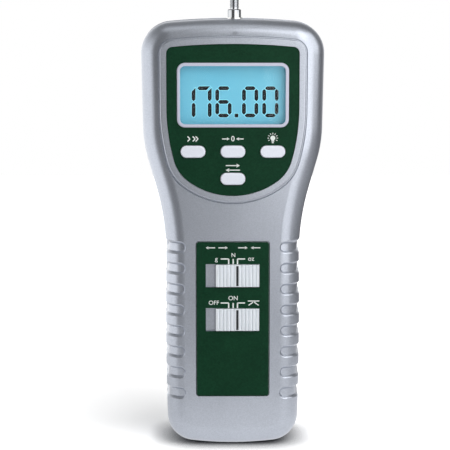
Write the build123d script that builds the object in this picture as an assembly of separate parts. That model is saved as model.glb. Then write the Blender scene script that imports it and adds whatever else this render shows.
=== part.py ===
from build123d import *

import os
from math import acos, asin, atan2, cos, degrees, radians, sin, sqrt, tan

# Handheld digital force gauge.
#
# A two-shell moulded housing with a wide head and a slimmer handle that has grip grooves
# wrapped round its sides. The head holds a backlit display, four push buttons, and a bending
# beam that a vertical sensing spindle pushes and pulls on. The handle holds two slide
# switches at the front and six cells behind a screwed door at the back.
#
# Frame: +Z up, -Y is the front with the display, +X is to the right of someone who looks at
# the display. The origin is the middle of the foot. All sizes are in millimetres.

# ---------------------------------------------------------------- housing outline (front view)
housing_height = 210.0
head_width = 89.8
shoulder_width = 87.7
shoulder_z = 149.8
handle_width = 66.6
handle_widest_z = 62.0
handle_side_radius = 1690.0
waist_z = 110.9
top_arc_radius = 346.0
foot_arc_radius = 170.0
foot_flat_depth = 0.45
head_corner_radius = 15.3
shoulder_share = 0.21
waist_share = 0.47
foot_corner_radius = 14.0

# ---------------------------------------------------------------- housing depth (side view)
housing_depth = 45.0
button_proud = 1.0
bezel_proud = 0.5
bezel_height = 0.9
parting_y = 2.0
parting_step = 0.3
wall = 2.5
cut_margin = 1.0
beyond = 10.0
front_edge_radius = 9.5
back_edge_radius = 8.0

# ---------------------------------------------------------------- display faceplate and bezel
shield_width = 63.8
shield_top_z = 198.0
shield_bottom_z = 124.9
shield_top_radius = 304.0
shield_bottom_radius = 36.4
shield_corner_radius = 3.0
shield_knee_z = 155.0
shield_knee_angle = 15.0
shield_knee_radius = 95.0
shield_hip_radius = 18.5
shield_thickness = 0.8
bezel_width = 3.2
bezel_edge_radius = 0.7
bezel_line_width = 0.5
bezel_line_depth = 0.4
lip_lean = 45.0
lip_over = 0.1
plate_gap = 0.1

# ---------------------------------------------------------------- display
frame_width = 53.8
frame_height = 31.0
frame_z = 173.5
frame_corner_radius = 3.9
frame_rim = 1.5
frame_proud = 0.5
frame_flange = 2.1
frame_flange_thickness = 0.9
window_thickness = 2.0
window_recess = 2.1
window_lap = 0.4
glass_overlap = 2.6
glass_thickness = 2.0
glass_gap = 0.3
backlight_inset = 2.4
holder_wall = 1.9
connector_width = 2.0
connector_inset = 0.2
fit_gap = 0.1

# ---------------------------------------------------------------- buttons
button_width = 11.9
button_height = 5.8
button_corner_radius = 2.8
button_crown = 0.5
button_gap = 0.25
button_pitch = 19.25
button_row_z = 146.35
reverse_button_z = 133.15
button_travel = 0.5
button_flange = 1.0
switch_base = 6.0
switch_base_height = 3.5
plunger_radius = 1.75
plunger_height = 0.7
plunger_gap = 0.15

# ---------------------------------------------------------------- switch faceplate and sliders
label_width = 35.3
label_height = 76.4
label_z = 63.9
label_corner_radius = 1.2
label_thickness = 0.6
label_proud = 0.2
label_lip = 0.35
slider_width = 21.2
slider_height = 10.9
slider_travel = 4.5
slider_gap = 0.2
slider_proud = 1.2
slider_rib_count = 5
slider_rib_pitch = 1.75
slider_rib_depth = 0.45
units_slider_z = 85.6
power_slider_z = 63.8
pocket_depth = 1.4
pocket_floor = 1.3
pocket_pad_margin = 2.2
stem_width = 6.0
stem_height = 4.4
foot_reach = 1.8
foot_thickness = 1.0
tip_width = 3.0
tip_height = 2.6
running_gap = 0.3
slide_body_width = 19.0
slide_body_height = 7.5
slide_slot_depth = 1.6
tip_reach = 1.2
slider_land_half = 1.0
slider_edge_radius = 0.3

# ---------------------------------------------------------------- grip grooves
groove_count = 8
groove_pitch = 10.35
first_groove_z = 26.9
groove_depth = 1.2
groove_floor_height = 3.6
groove_lip_height = 5.1
groove_mouth_height = 6.1
groove_lip = 0.35
groove_front_reach = 22.8
groove_back_y = 12.0
groove_overcut = 1.0

# ---------------------------------------------------------------- circuit board
board_setback = 6.1
board_thickness = 1.6
board_width = 66.0
board_top_z = 199.0
board_step_z = 123.0
board_neck_width = 42.0
board_bottom_z = 46.0
board_post_radius = 2.8
board_screw_radius = 1.2
board_screw_head_radius = 2.3
board_screw_head_height = 1.5
board_screw_length = 5.0
board_hole_gap = 0.3
screw_gap = 0.05
screw_hole_spare = 0.5
board_post_places = [(-29.8, 195.6), (29.8, 195.6), (-27.0, 125.5), (27.0, 125.5), (0.0, 50.0)]
chip_sizes = [(0.0, 141.0, 14.0, 14.0), (-14.0, 112.0, 9.0, 6.0), (12.0, 104.0, 8.0, 5.0)]
chip_height = 1.6

# ---------------------------------------------------------------- sensing spindle and hook
spindle_x = 1.0
spindle_radius = 3.25
spindle_collar_height = 4.3
spindle_foot_radius = 6.0
spindle_foot_height = 3.0
bush_radius = 4.0
bush_proud = 0.3
bush_flange_radius = 5.5
bush_flange_height = 1.5
bush_length = 12.8
bush_boss_radius = 7.5
bush_running_gap = 0.05
spindle_edge = 0.4
spindle_screw_bite = 7.0
seat_gap = 0.05
thread_radius = 2.0
thread_engagement = 7.5
thread_running_gap = 0.05
thread_hole_spare = 0.3
hook_shank_length = 15.5
hook_rod_radius = 1.9
hook_ring_radius = 7.2
hook_neck_radius = 4.0
hook_mouth_angle = 20.0

# ---------------------------------------------------------------- load cell
beam_length = 47.0
beam_height = 12.0
beam_depth = 12.0
beam_free_overhang = 8.0
beam_top_z = 188.0
beam_hole_radius = 4.0
beam_hole_spacing = 11.0
beam_slot_height = 2.0
beam_hole_x = -14.0
shelf_length = 18.0
shelf_thickness = 6.0
shelf_screw_inset = 5.0
shelf_screw_spacing = 8.0
m3_radius = 1.5
m3_head_radius = 2.75
m3_head_height = 3.0
m3_clearance = 0.1
tapped_hole_stop = 2.0
shelf_screw_stop = 3.0
chassis_width = 59.4
chassis_bottom_z = 136.0
chassis_top_z = 192.0
chassis_thickness = 4.0

# ---------------------------------------------------------------- test stand threads
stand_spacing_x = 44.0
stand_spacing_z = 44.0
stand_centre_z = 164.0
stand_hole_radius = 1.65
insert_radius = 3.4
insert_length = 9.0

# ---------------------------------------------------------------- case screws
case_post_places = [(-38.2, 196.0), (38.2, 196.0), (-27.6, 18.0), (27.6, 18.0)]
case_post_radius = 3.5
case_screw_radius = 1.25
case_screw_clearance = 0.35
case_screw_head_radius = 2.6
case_screw_head_height = 2.0
case_head_pocket_radius = 2.9
case_head_depth = 5.0
case_screw_bite = 10.0

# ---------------------------------------------------------------- batteries and their door
cell_radius = 7.1
cell_length = 49.5
cell_tip_radius = 2.75
cell_tip_length = 1.0
cell_pitch = 14.7
cell_columns = 3
bay_gap = 0.15
bay_bottom_z = 15.0
bay_length = 107.0
tray_wall = 1.3
contact_thickness = 0.5
contact_width = 11.0
contact_radius = 3.6
contact_tip_radius = 2.4
door_thickness = 2.2
door_width = 46.8
door_bottom_z = 8.0
door_top_z = 131.0
door_corner_radius = 3.0
door_gap = 0.2
door_travel = 30.0
door_screw_radius = 1.25
door_screw_head_radius = 2.4
door_screw_head_height = 1.3
door_screw_length = 9.0
door_screw_edge = 3.9
door_rib_count = 5
door_rib_pitch = 2.4
door_rib_width = 1.1
door_rib_length = 22.0
door_rib_depth = 0.6
door_rib_drop = 10.0
door_rim_width = 1.2
door_rim_setback = 0.5
door_hole_spare = 1.0
cell_clearance = 1.2

# ---------------------------------------------------------------- sockets
socket_y = 10.0
power_socket_z = 163.5
power_body_size = (9.0, 10.0)
power_nose_radius = 4.4
power_bore_radius = 2.8
power_bore_depth = 9.0
power_pin_radius = 1.0
output_socket_z = 152.5
output_body_size = (7.0, 7.0)
output_nose_radius = 3.0
output_bore_radius = 1.8
output_bore_depth = 11.0
socket_recess = 0.4
socket_body_gap = 1.1
socket_board_inset = 12.6
socket_board_thickness = 1.5
socket_board_margin = 2.0
socket_board_grip = 1.5
nose_overlap = 0.5
power_pin_recess = 1.0

# ---------------------------------------------------------------- worked-out places
back_y = housing_depth / 2
button_front_y = -housing_depth / 2
plate_front_y = button_front_y + button_proud
bezel_front_y = plate_front_y - bezel_proud
face_y = bezel_front_y + bezel_height
plate_back_y = plate_front_y + shield_thickness
face_inner_y = face_y + wall
board_front_y = face_inner_y + board_setback
back_inner_y = back_y - wall
spindle_y = parting_y
beam_bottom_z = beam_top_z - beam_height


# ================================================================ helpers
def slab(sketch, front_y, rear_y):
    """A front-view sketch (x to the right, y up) made solid between two depths."""
    return extrude(Plane.XZ.offset(-rear_y) * sketch, rear_y - front_y)


def flared_slab(sketch, front_y, rear_y, lean):
    """A slab whose edge leans outwards, in degrees, on its way to the front."""
    return extrude(Plane.XZ.offset(-rear_y) * sketch, rear_y - front_y, taper=-lean)


def block(x_low, x_high, y_low, y_high, z_low, z_high):
    """A box given by its two ends along each axis."""
    middle = ((x_low + x_high) / 2, (y_low + y_high) / 2, (z_low + z_high) / 2)
    return Pos(*middle) * Box(x_high - x_low, y_high - y_low, z_high - z_low)


def rod_y(x, z, radius, front_y, rear_y):
    """A cylinder along Y."""
    return slab(Pos(x, z) * Circle(radius), front_y, rear_y)


def rod_z(x, y, radius, z_low, z_high):
    """A cylinder along Z."""
    return Pos(x, y, (z_low + z_high) / 2) * Cylinder(radius, z_high - z_low)


def rod_x(y, z, radius, x_low, x_high):
    """A cylinder along X."""
    return Pos((x_low + x_high) / 2, y, z) * Rot(0, 90, 0) * Cylinder(radius, x_high - x_low)


def round_corners(sketch, corners):
    """Round each corner (half width, height, radius) of a sketch that is the same left and right."""
    for half_width, height, radius in corners:
        picked = [v for v in sketch.vertices()
                  if abs(abs(v.X) - half_width) < 1e-4 and abs(v.Y - height) < 1e-4]
        sketch = fillet(picked, radius)
    return sketch


def cut_all(solid, cutters):
    """Take each cutter off a solid."""
    for cutter in cutters:
        solid = solid - cutter
    return solid


# ================================================================ outlines
def handle_half_width(z):
    """Half width of the handle, whose sides bow out a little."""
    return handle_width / 2 - handle_side_radius + sqrt(handle_side_radius**2 - (z - handle_widest_z)**2)


def head_corner_z():
    """Height where the arched top would meet the side if the corner were sharp."""
    return housing_height - top_arc_radius + sqrt(top_arc_radius**2 - (head_width / 2)**2)


def foot_corner():
    """Where the handle's side would meet the foot if the corner were sharp, found in a few passes."""
    z = 0.0
    for _ in range(4):
        half = handle_half_width(z)
        z = foot_arc_radius - sqrt(foot_arc_radius**2 - half**2) - foot_flat_depth
    return half, z


def blend_radius(share, length, turn):
    """Radius of a curve that takes up a share of the run beside it where the outline turns."""
    return share * length / tan(turn / 2)


def housing_outline(inset=0.0):
    """Front view of the housing: arched top, wide head, sloping waist, bowed handle and curved foot.

    It can be drawn inside itself by an inset. The foot's arc reaches below the floor by
    foot_flat_depth, and the shells are cut level there.
    """
    head, head_z = head_width / 2, head_corner_z()
    shoulder, waist = shoulder_width / 2, handle_half_width(waist_z)
    foot, foot_z = foot_corner()
    slope_length = sqrt((shoulder - waist)**2 + (shoulder_z - waist_z)**2)
    # The way each run faces where it meets the next one, as an angle above level.
    top = acos(head / top_arc_radius)
    side = -atan2(head - shoulder, head_z - shoulder_z)
    slope = -atan2(shoulder - waist, shoulder_z - waist_z)
    upper_handle = asin((waist_z - handle_widest_z) / handle_side_radius)
    lower_handle = asin((foot_z - handle_widest_z) / handle_side_radius)
    sole = -acos(foot / foot_arc_radius)
    shoulder_radius = blend_radius(shoulder_share, slope_length, side - slope)
    waist_radius = blend_radius(waist_share, slope_length, upper_handle - slope)
    corners = []
    for x, z, before, after, radius in [
        (head, head_z, top, side, head_corner_radius - inset),
        (shoulder, shoulder_z, side, slope, shoulder_radius - inset),
        (waist, waist_z, slope, upper_handle, waist_radius + inset),
        (foot, foot_z, lower_handle, sole, foot_corner_radius - inset),
    ]:
        middle, reach = (before + after) / 2, inset / cos((before - after) / 2)
        corners.append((x - reach * cos(middle), z - reach * sin(middle), radius))
    (head, head_z, _), _, (waist, waist_top_z, _), (foot, foot_z, _) = corners
    widest = handle_width / 2 - inset
    slope_points = [(x, z) for x, z, _ in corners[:3]]
    return round_corners(make_face([
        ThreePointArc((-head, head_z), (0, housing_height - inset), (head, head_z)),
        Polyline(*slope_points),
        ThreePointArc((waist, waist_top_z), (widest, handle_widest_z), (foot, foot_z)),
        ThreePointArc((foot, foot_z), (0, inset - foot_flat_depth), (-foot, foot_z)),
        ThreePointArc((-foot, foot_z), (-widest, handle_widest_z), (-waist, waist_top_z)),
        Polyline(*[(-x, z) for x, z in reversed(slope_points)]),
    ]), corners)


def shield_outline():
    """Front view of the display faceplate: slightly arched top, sides that draw in, round chin."""
    half = shield_width / 2
    top_z = shield_top_z - shield_top_radius + sqrt(shield_top_radius**2 - half**2)
    centre_z = shield_bottom_z + shield_bottom_radius
    # The sloping side starts at the knee and ends where it meets the chin's arc.
    lean = radians(shield_knee_angle)
    drop = shield_knee_z - centre_z
    middle = half * sin(lean) + drop * cos(lean)
    reach = middle + sqrt(middle**2 - half**2 - drop**2 + shield_bottom_radius**2)
    hip = (half - reach * sin(lean), shield_knee_z - reach * cos(lean))
    side = [(half, top_z), (half, shield_knee_z), hip]
    edges = [
        ThreePointArc((-half, top_z), (0, shield_top_z), (half, top_z)),
        Polyline(*side),
        ThreePointArc(hip, (0, shield_bottom_z), (-hip[0], hip[1])),
        Polyline(*[(-x, z) for x, z in reversed(side)]),
    ]
    return round_corners(make_face(edges), [
        (half, top_z, shield_corner_radius),
        (half, shield_knee_z, shield_knee_radius),
        (hip[0], hip[1], shield_hip_radius),
    ])


def pill(width, height, radius, x, z):
    """A rounded rectangle in the front view."""
    return Pos(x, z) * RectangleRounded(width, height, radius)


def button_outline(x, z, gap=0.0):
    """A push button's front view, or the hole round it."""
    return pill(button_width + 2 * gap, button_height + 2 * gap, button_corner_radius + gap, x, z)


def pocket_outline(z, gap=0.0):
    """The window a slider moves in."""
    width = slider_width + slider_travel + 2 * (slider_gap + gap)
    return Pos(0, z) * Rectangle(width, slider_height + 2 * (slider_gap + gap))


button_places = {
    "speed_button": (-button_pitch, button_row_z),
    "zero_button": (0.0, button_row_z),
    "backlight_button": (button_pitch, button_row_z),
    "reverse_button": (0.0, reverse_button_z),
}
slider_places = {"units_slider": units_slider_z, "power_slider": power_slider_z}


# ================================================================ housing shells
def rounded_body(outline, front_y, rear_y, front_radius, rear_radius):
    """An outline made solid, with its front and back edges rounded all the way round."""
    body = slab(outline, front_y, rear_y)
    body = fillet(body.faces().sort_by(Axis.Y)[0].edges(), front_radius)
    return fillet(body.faces().sort_by(Axis.Y)[-1].edges(), rear_radius)


def groove_cutters():
    """Grip grooves: sloped channels from a round end on the face, round the side, to a round end."""
    face_x = handle_width / 2 - parting_step
    centre_x, centre_y = face_x - front_edge_radius, face_y + front_edge_radius
    # The channel's half height at each distance out from the handle's side: floor, lip and beyond.
    lip_slope = (groove_mouth_height - groove_lip_height) / 2 / groove_lip
    profile = [
        (-groove_depth, groove_floor_height / 2),
        (-groove_lip, groove_lip_height / 2),
        (groove_overcut, groove_mouth_height / 2 + lip_slope * groove_overcut),
    ]
    start_x = groove_front_reach + groove_mouth_height / 2
    start_angle = degrees(asin((start_x - centre_x) / front_edge_radius))
    end_y = groove_back_y - groove_mouth_height / 2

    # The channel's section stands in the side plane: x is the way out, y is up.
    section = Polygon(*[(out, -half) for out, half in profile], *reversed(profile), align=None)
    bend_plane = Plane(origin=(face_x, centre_y, 0), x_dir=(1, 0, 0), z_dir=(0, -1, 0))
    end_plane = Plane(origin=(face_x, end_y, 0), x_dir=(1, 0, 0), z_dir=(0, -1, 0))
    straight = extrude(end_plane * section, end_y - centre_y)
    bend = revolve(bend_plane * section, Axis((centre_x, centre_y, 0), (0, 0, -1)), 90 - start_angle)
    cone = Part()
    for (low, low_half), (high, high_half) in zip(profile, profile[1:]):
        cone += Pos(0, 0, (low + high) / 2) * Cone(low_half, high_half, high - low)
    back_end = Pos(face_x, end_y, 0) * Rot(0, 90, 0) * cone
    front_end = (Pos(centre_x, centre_y, 0) * Rot(0, 0, start_angle)
                 * Pos(0, -front_edge_radius, 0) * Rot(90, 0, 0) * cone)
    channel = straight + bend + back_end + front_end
    cutters = []
    for index in range(groove_count):
        z = first_groove_z + index * groove_pitch
        placed = Pos(handle_half_width(z) - handle_width / 2, 0, z) * channel
        cutters += [placed, mirror(placed, Plane.YZ)]
    return cutters


def screw_post(place, radius, front_y, rear_y):
    """A round post that a screw goes into."""
    return rod_y(place[0], place[1], radius, front_y, rear_y)


def bush_boss():
    """Boss in the top wall that both shells share round the spindle's bush."""
    boss_low = housing_height + bush_proud - bush_length + bush_flange_height
    return rod_z(spindle_x, spindle_y, bush_boss_radius, boss_low, housing_height - wall / 2)


def bush_hole():
    """Hole for the bush through the top wall."""
    return rod_z(spindle_x, spindle_y, bush_radius + seat_gap, housing_height - bush_length,
                 housing_height + beyond)


def make_front_shell():
    outer = rounded_body(housing_outline(parting_step), face_y, back_y, front_edge_radius, back_edge_radius)
    cavity = rounded_body(housing_outline(parting_step + wall), face_inner_y, back_inner_y,
                          front_edge_radius - wall, back_edge_radius - wall)
    front_half = block(-head_width, head_width, -housing_depth, parting_y, 0, housing_height + beyond)

    inside = bush_boss()
    for place in case_post_places:
        inside += screw_post(place, case_post_radius, face_y, back_y)
    for place in board_post_places:
        inside += screw_post(place, board_post_radius, face_y, board_front_y)
    pad_back_y = plate_pocket_floor_y() + pocket_floor
    for z in slider_places.values():
        pad = offset(pocket_outline(z), pocket_pad_margin, kind=Kind.INTERSECTION)
        inside += slab(pad, face_y, pad_back_y)
    shell = (outer - cavity + (inside & outer)) & front_half

    # Raised bezel round the display faceplate, with a fine line moulded along its foot.
    bezel = slab(offset(shield_outline(), bezel_width), bezel_front_y, face_y + wall / 2)
    bezel = fillet(bezel.faces().sort_by(Axis.Y)[0].edges(), bezel_edge_radius)
    line = flared_slab(offset(shield_outline(), bezel_width + bezel_line_width), face_y - lip_over,
                       face_y + bezel_line_depth, lip_lean)
    shell = shell - line + bezel

    through_y = face_inner_y + cut_margin
    cutters = [slab(offset(shield_outline(), plate_gap), bezel_front_y - cut_margin, plate_back_y)]
    cutters.append(slab(frame_hole(), bezel_front_y, through_y))
    for x, z in button_places.values():
        cutters.append(slab(button_outline(x, z, button_gap), bezel_front_y, through_y))
    label = pill(label_width + 2 * plate_gap, label_height + 2 * plate_gap, label_corner_radius, 0, label_z)
    cutters.append(slab(label, face_y - cut_margin, label_back_y()))
    cutters.append(flared_slab(label, face_y - lip_over, face_y + label_lip, lip_lean))
    for z in slider_places.values():
        cutters.append(slab(pocket_outline(z), face_y - cut_margin, plate_pocket_floor_y()))
        stem_slot = Rectangle(stem_width + slider_travel + 2 * running_gap, stem_height + 2 * running_gap)
        cutters.append(slab(Pos(0, z) * stem_slot, face_y, pad_back_y + cut_margin))
    for x, z in case_post_places:
        cutters.append(rod_y(x, z, case_screw_radius + screw_gap,
                             parting_y - case_screw_bite - screw_hole_spare, parting_y))
    for x, z in board_post_places:
        cutters.append(rod_y(x, z, board_screw_radius + screw_gap, board_front_y - board_screw_length,
                             board_front_y))
    cutters.append(bush_hole())
    return cut_all(shell, cutters + groove_cutters())


def label_back_y():
    """Depth of the recess under the switch faceplate."""
    return face_y - label_proud + label_thickness


def plate_pocket_floor_y():
    """Depth of the floor that a slider moves over."""
    return face_y - label_proud + pocket_depth


def door_outline(gap=0.0):
    """The battery door, or the recess round it."""
    width, height = door_width + 2 * gap, door_top_z - door_bottom_z + 2 * gap
    return pill(width, height, door_corner_radius + gap, 0, (door_top_z + door_bottom_z) / 2)


def bay_half_width():
    return cell_pitch * (cell_columns - 1) / 2 + cell_radius + bay_gap


def bay_front_y():
    """Depth of the tray floor that the cells lie on."""
    return back_y - door_thickness - 2 * cell_radius - cell_clearance


def door_screw_places():
    return [door_bottom_z + door_screw_edge, door_top_z - door_screw_edge]


def make_rear_shell():
    outer = rounded_body(housing_outline(), face_y, back_y, front_edge_radius, back_edge_radius)
    cavity = rounded_body(housing_outline(wall), face_inner_y, back_inner_y,
                          front_edge_radius - wall, back_edge_radius - wall)
    rear_half = block(-head_width, head_width, parting_y, housing_depth, 0, housing_height + beyond)

    half_width, floor_y = bay_half_width(), bay_front_y()
    bay_top_z = bay_bottom_z + bay_length
    inside = bush_boss()
    inside += block(-half_width - tray_wall, half_width + tray_wall, floor_y - tray_wall, back_inner_y,
                    bay_bottom_z - tray_wall, bay_top_z + tray_wall)
    door_seat_y = back_y - door_thickness
    door_post_y = door_seat_y - door_screw_length - door_hole_spare
    for z in door_screw_places():
        inside += screw_post((0, z), case_post_radius, door_post_y, back_y)
    for place in case_post_places:
        inside += screw_post(place, case_post_radius, parting_y, back_y)
    board_edge_y = socket_board_back_y()
    inside += block(socket_board_x() - socket_board_grip, socket_board_x() + socket_board_thickness,
                    board_edge_y, back_y, output_socket_z, power_socket_z)
    shell = (outer - cavity + (inside & outer)) & rear_half
    # Thick rim that the door's edge rests on.
    rim = slab(offset(door_outline(door_gap), door_rim_width), door_seat_y - tray_wall,
               back_y - door_rim_setback)
    shell = shell + (rim & outer)

    past_y = back_y + cut_margin
    cutters = [block(-half_width, half_width, floor_y, past_y, bay_bottom_z, bay_top_z)]
    cutters.append(slab(door_outline(door_gap), door_seat_y, past_y))
    for z in door_screw_places():
        cutters.append(rod_y(0, z, door_screw_radius + screw_gap, door_seat_y - door_screw_length, back_y))
    for x, z in case_post_places:
        cutters.append(rod_y(x, z, case_screw_radius + case_screw_clearance, parting_y, past_y))
        cutters.append(rod_y(x, z, case_head_pocket_radius, back_y - case_head_depth, past_y))
    for x, z in stand_places():
        cutters.append(rod_y(x, z, insert_radius + seat_gap, back_inner_y - cut_margin, past_y))
    for z, radius in ((power_socket_z, power_nose_radius), (output_socket_z, output_nose_radius)):
        wall_x = -side_x(z)
        cutters.append(rod_x(socket_y, z, radius + fit_gap, wall_x - cut_margin, wall_x + wall + cut_margin))
    cutters.append(bush_hole())
    return cut_all(shell, cutters + groove_cutters())


# ================================================================ faceplates and display
def frame_hole():
    """The hole that the display frame passes through."""
    return pill(frame_width + 2 * fit_gap, frame_height + 2 * fit_gap, frame_corner_radius + fit_gap,
                0, frame_z)


def make_display_faceplate():
    plate = slab(shield_outline(), plate_front_y, plate_back_y)
    front_y, rear_y = plate_front_y - cut_margin, plate_back_y + cut_margin
    plate -= slab(frame_hole(), front_y, rear_y)
    for x, z in button_places.values():
        plate -= slab(button_outline(x, z, button_gap), front_y, rear_y)
    return plate


def make_switch_faceplate():
    front_y = face_y - label_proud
    plate = slab(pill(label_width, label_height, label_corner_radius, 0, label_z), front_y, label_back_y())
    for z in slider_places.values():
        plate -= slab(pocket_outline(z, fit_gap), front_y - cut_margin, label_back_y() + cut_margin)
    return plate


def window_front_y():
    return plate_front_y - frame_proud + window_recess


def flange_back_y():
    return face_inner_y + frame_flange_thickness


def window_outline(lap):
    """The clear opening of the display frame, grown by a lap."""
    width = frame_width - 2 * frame_rim + 2 * lap
    height = frame_height - 2 * frame_rim + 2 * lap
    return pill(width, height, frame_corner_radius - frame_rim + lap, 0, frame_z)


def make_window_frame():
    front_y = plate_front_y - frame_proud
    outer = pill(frame_width, frame_height, frame_corner_radius, 0, frame_z)
    ring = slab(outer, front_y, flange_back_y())
    ring = fillet(ring.faces().sort_by(Axis.Y)[0].edges(), frame_rim / 3)
    ring += slab(offset(outer, frame_flange), face_inner_y, flange_back_y())
    rear_y = flange_back_y() + cut_margin
    ring -= slab(window_outline(0), front_y - cut_margin, rear_y)
    return ring - slab(window_outline(window_lap), window_front_y(), rear_y)


def make_display_window():
    return slab(window_outline(window_lap - fit_gap), window_front_y(), window_front_y() + window_thickness)


def glass_size():
    return frame_width - 2 * frame_rim + 2 * glass_overlap, frame_height - 2 * frame_rim + 2 * glass_overlap


def glass_front_y():
    return flange_back_y() + glass_gap


def make_lcd_panel():
    glass = Pos(0, frame_z) * Rectangle(*glass_size())
    return slab(glass, glass_front_y(), glass_front_y() + glass_thickness)


def make_backlight_panel():
    width, height = glass_size()
    panel = Rectangle(width - 2 * backlight_inset, height - 2 * backlight_inset)
    return slab(Pos(0, frame_z) * panel, glass_front_y() + glass_thickness, board_front_y)


def make_lcd_connectors():
    width, height = glass_size()
    strip = Rectangle(width - 2 * backlight_inset, connector_width)
    rise = height / 2 - connector_inset - connector_width / 2
    strips = [Pos(0, frame_z + side * rise) * strip for side in (-1, 1)]
    return Compound([slab(s, glass_front_y() + glass_thickness, board_front_y) for s in strips])


def make_lcd_holder():
    width, height = glass_size()
    inner = Pos(0, frame_z) * Rectangle(width + 2 * fit_gap, height + 2 * fit_gap)
    outer = offset(inner, holder_wall)
    front_y = flange_back_y() + fit_gap
    return slab(outer, front_y, board_front_y) - slab(inner, front_y - cut_margin, board_front_y + cut_margin)


# ================================================================ circuit board
def make_main_board():
    rear_y = board_front_y + board_thickness
    board = block(-board_width / 2, board_width / 2, board_front_y, rear_y, board_step_z, board_top_z)
    board += block(-board_neck_width / 2, board_neck_width / 2, board_front_y, rear_y,
                   board_bottom_z, board_step_z)
    hole_radius = board_screw_radius + board_hole_gap
    for x, z in board_post_places:
        board -= rod_y(x, z, hole_radius, board_front_y - cut_margin, rear_y + cut_margin)
    return board


def make_board_chips():
    back_y_of_board = board_front_y + board_thickness
    return Compound([slab(Pos(x, z) * Rectangle(w, h), back_y_of_board, back_y_of_board + chip_height)
                     for x, z, w, h in chip_sizes])


def make_board_screws():
    head_y = board_front_y + board_thickness
    screws = []
    for x, z in board_post_places:
        shank = rod_y(x, z, board_screw_radius, board_front_y - board_screw_length + screw_hole_spare, head_y)
        screws.append(shank + rod_y(x, z, board_screw_head_radius, head_y, head_y + board_screw_head_height))
    return Compound(screws)


def button_back_y():
    """Depth of a button's inner end, at rest."""
    return board_front_y - switch_base_height - plunger_height - button_travel - plunger_gap


def make_button_switches():
    switches = []
    top_y = board_front_y - switch_base_height
    for x, z in button_places.values():
        base = slab(Pos(x, z) * Rectangle(switch_base, switch_base), top_y, board_front_y)
        switches.append(base + rod_y(x, z, plunger_radius, top_y - plunger_height, top_y))
    return Compound(switches)


def make_button(name):
    x, z = button_places[name]
    flange_front_y = face_inner_y + running_gap
    cap = slab(button_outline(x, z), button_front_y, button_back_y())
    cap = fillet(cap.faces().sort_by(Axis.Y)[0].edges(), button_crown)
    return cap + slab(button_outline(x, z, button_flange), flange_front_y, button_back_y())


def slide_body_front_y():
    """Depth of a slide switch's top, under the slider's feet."""
    return plate_pocket_floor_y() + pocket_floor + running_gap + foot_thickness + 2 * running_gap


def make_slide_body(name):
    z = slider_places[name]
    front_y = slide_body_front_y()
    body = slab(Pos(0, z) * Rectangle(slide_body_width, slide_body_height), front_y, board_front_y)
    slot = Rectangle(tip_width + slider_travel + 2 * running_gap, tip_height + 2 * running_gap)
    return body - slab(Pos(0, z) * slot, front_y - cut_margin, front_y + slide_slot_depth)


def make_slider(name):
    """A ribbed knob, the stem under it, its retaining feet and the tip that moves the switch."""
    z = slider_places[name]
    x = slider_travel / 2
    front_y = face_y - label_proud - slider_proud
    back_y_of_knob = plate_pocket_floor_y() - running_gap
    knob = slab(Pos(x, z) * Rectangle(slider_width, slider_height), front_y, back_y_of_knob)
    knob = fillet(knob.faces().sort_by(Axis.Y)[0].edges(), slider_edge_radius)
    # Grip ribs: round-bottomed flutes on each half, either side of the plain index land.
    for side in (-1, 1):
        for index in range(slider_rib_count):
            flute_x = x + side * (slider_rib_pitch * (index + 0.5) + slider_land_half)
            knob -= rod_z(flute_x, front_y, slider_rib_depth, z - slider_height, z + slider_height)
    pad_back_y = plate_pocket_floor_y() + pocket_floor
    feet_front_y = pad_back_y + running_gap
    stem = Pos(x, z) * Rectangle(stem_width, stem_height)
    feet = Pos(x, z) * Rectangle(stem_width, stem_height + 2 * foot_reach)
    tip = Pos(x, z) * Rectangle(tip_width, tip_height)
    knob += slab(stem, back_y_of_knob, feet_front_y)
    knob += slab(feet, feet_front_y, feet_front_y + foot_thickness)
    return knob + slab(tip, feet_front_y + foot_thickness, slide_body_front_y() + tip_reach)


# ================================================================ load cell and its chassis
def beam_ends():
    free_x = spindle_x + beam_free_overhang
    return free_x - beam_length, free_x


def shelf_screw_places():
    first = beam_ends()[0] + shelf_screw_inset
    return [first, first + shelf_screw_spacing]


def make_load_cell():
    """A bending beam: two round holes joined by a slot leave four thin flexures."""
    fixed_x, free_x = beam_ends()
    front_y, rear_y = spindle_y - beam_depth / 2, spindle_y + beam_depth / 2
    beam = block(fixed_x, free_x, front_y, rear_y, beam_bottom_z, beam_top_z)
    middle_z = beam_top_z - beam_height / 2
    before_y, behind_y = front_y - cut_margin, rear_y + cut_margin
    hole_places = [beam_hole_x - beam_hole_spacing / 2, beam_hole_x + beam_hole_spacing / 2]
    for x in hole_places:
        beam -= rod_y(x, middle_z, beam_hole_radius, before_y, behind_y)
    beam -= block(*hole_places, before_y, behind_y,
                  middle_z - beam_slot_height / 2, middle_z + beam_slot_height / 2)
    below_z = beam_bottom_z - cut_margin
    beam -= rod_z(spindle_x, spindle_y, m3_radius + m3_clearance, below_z, beam_top_z + cut_margin)
    for x in shelf_screw_places():
        beam -= rod_z(x, spindle_y, m3_radius + screw_gap, below_z, beam_top_z - tapped_hole_stop)
    return beam


def stand_places():
    return [(sx * stand_spacing_x / 2, stand_centre_z + sz * stand_spacing_z / 2)
            for sx in (-1, 1) for sz in (-1, 1)]


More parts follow.
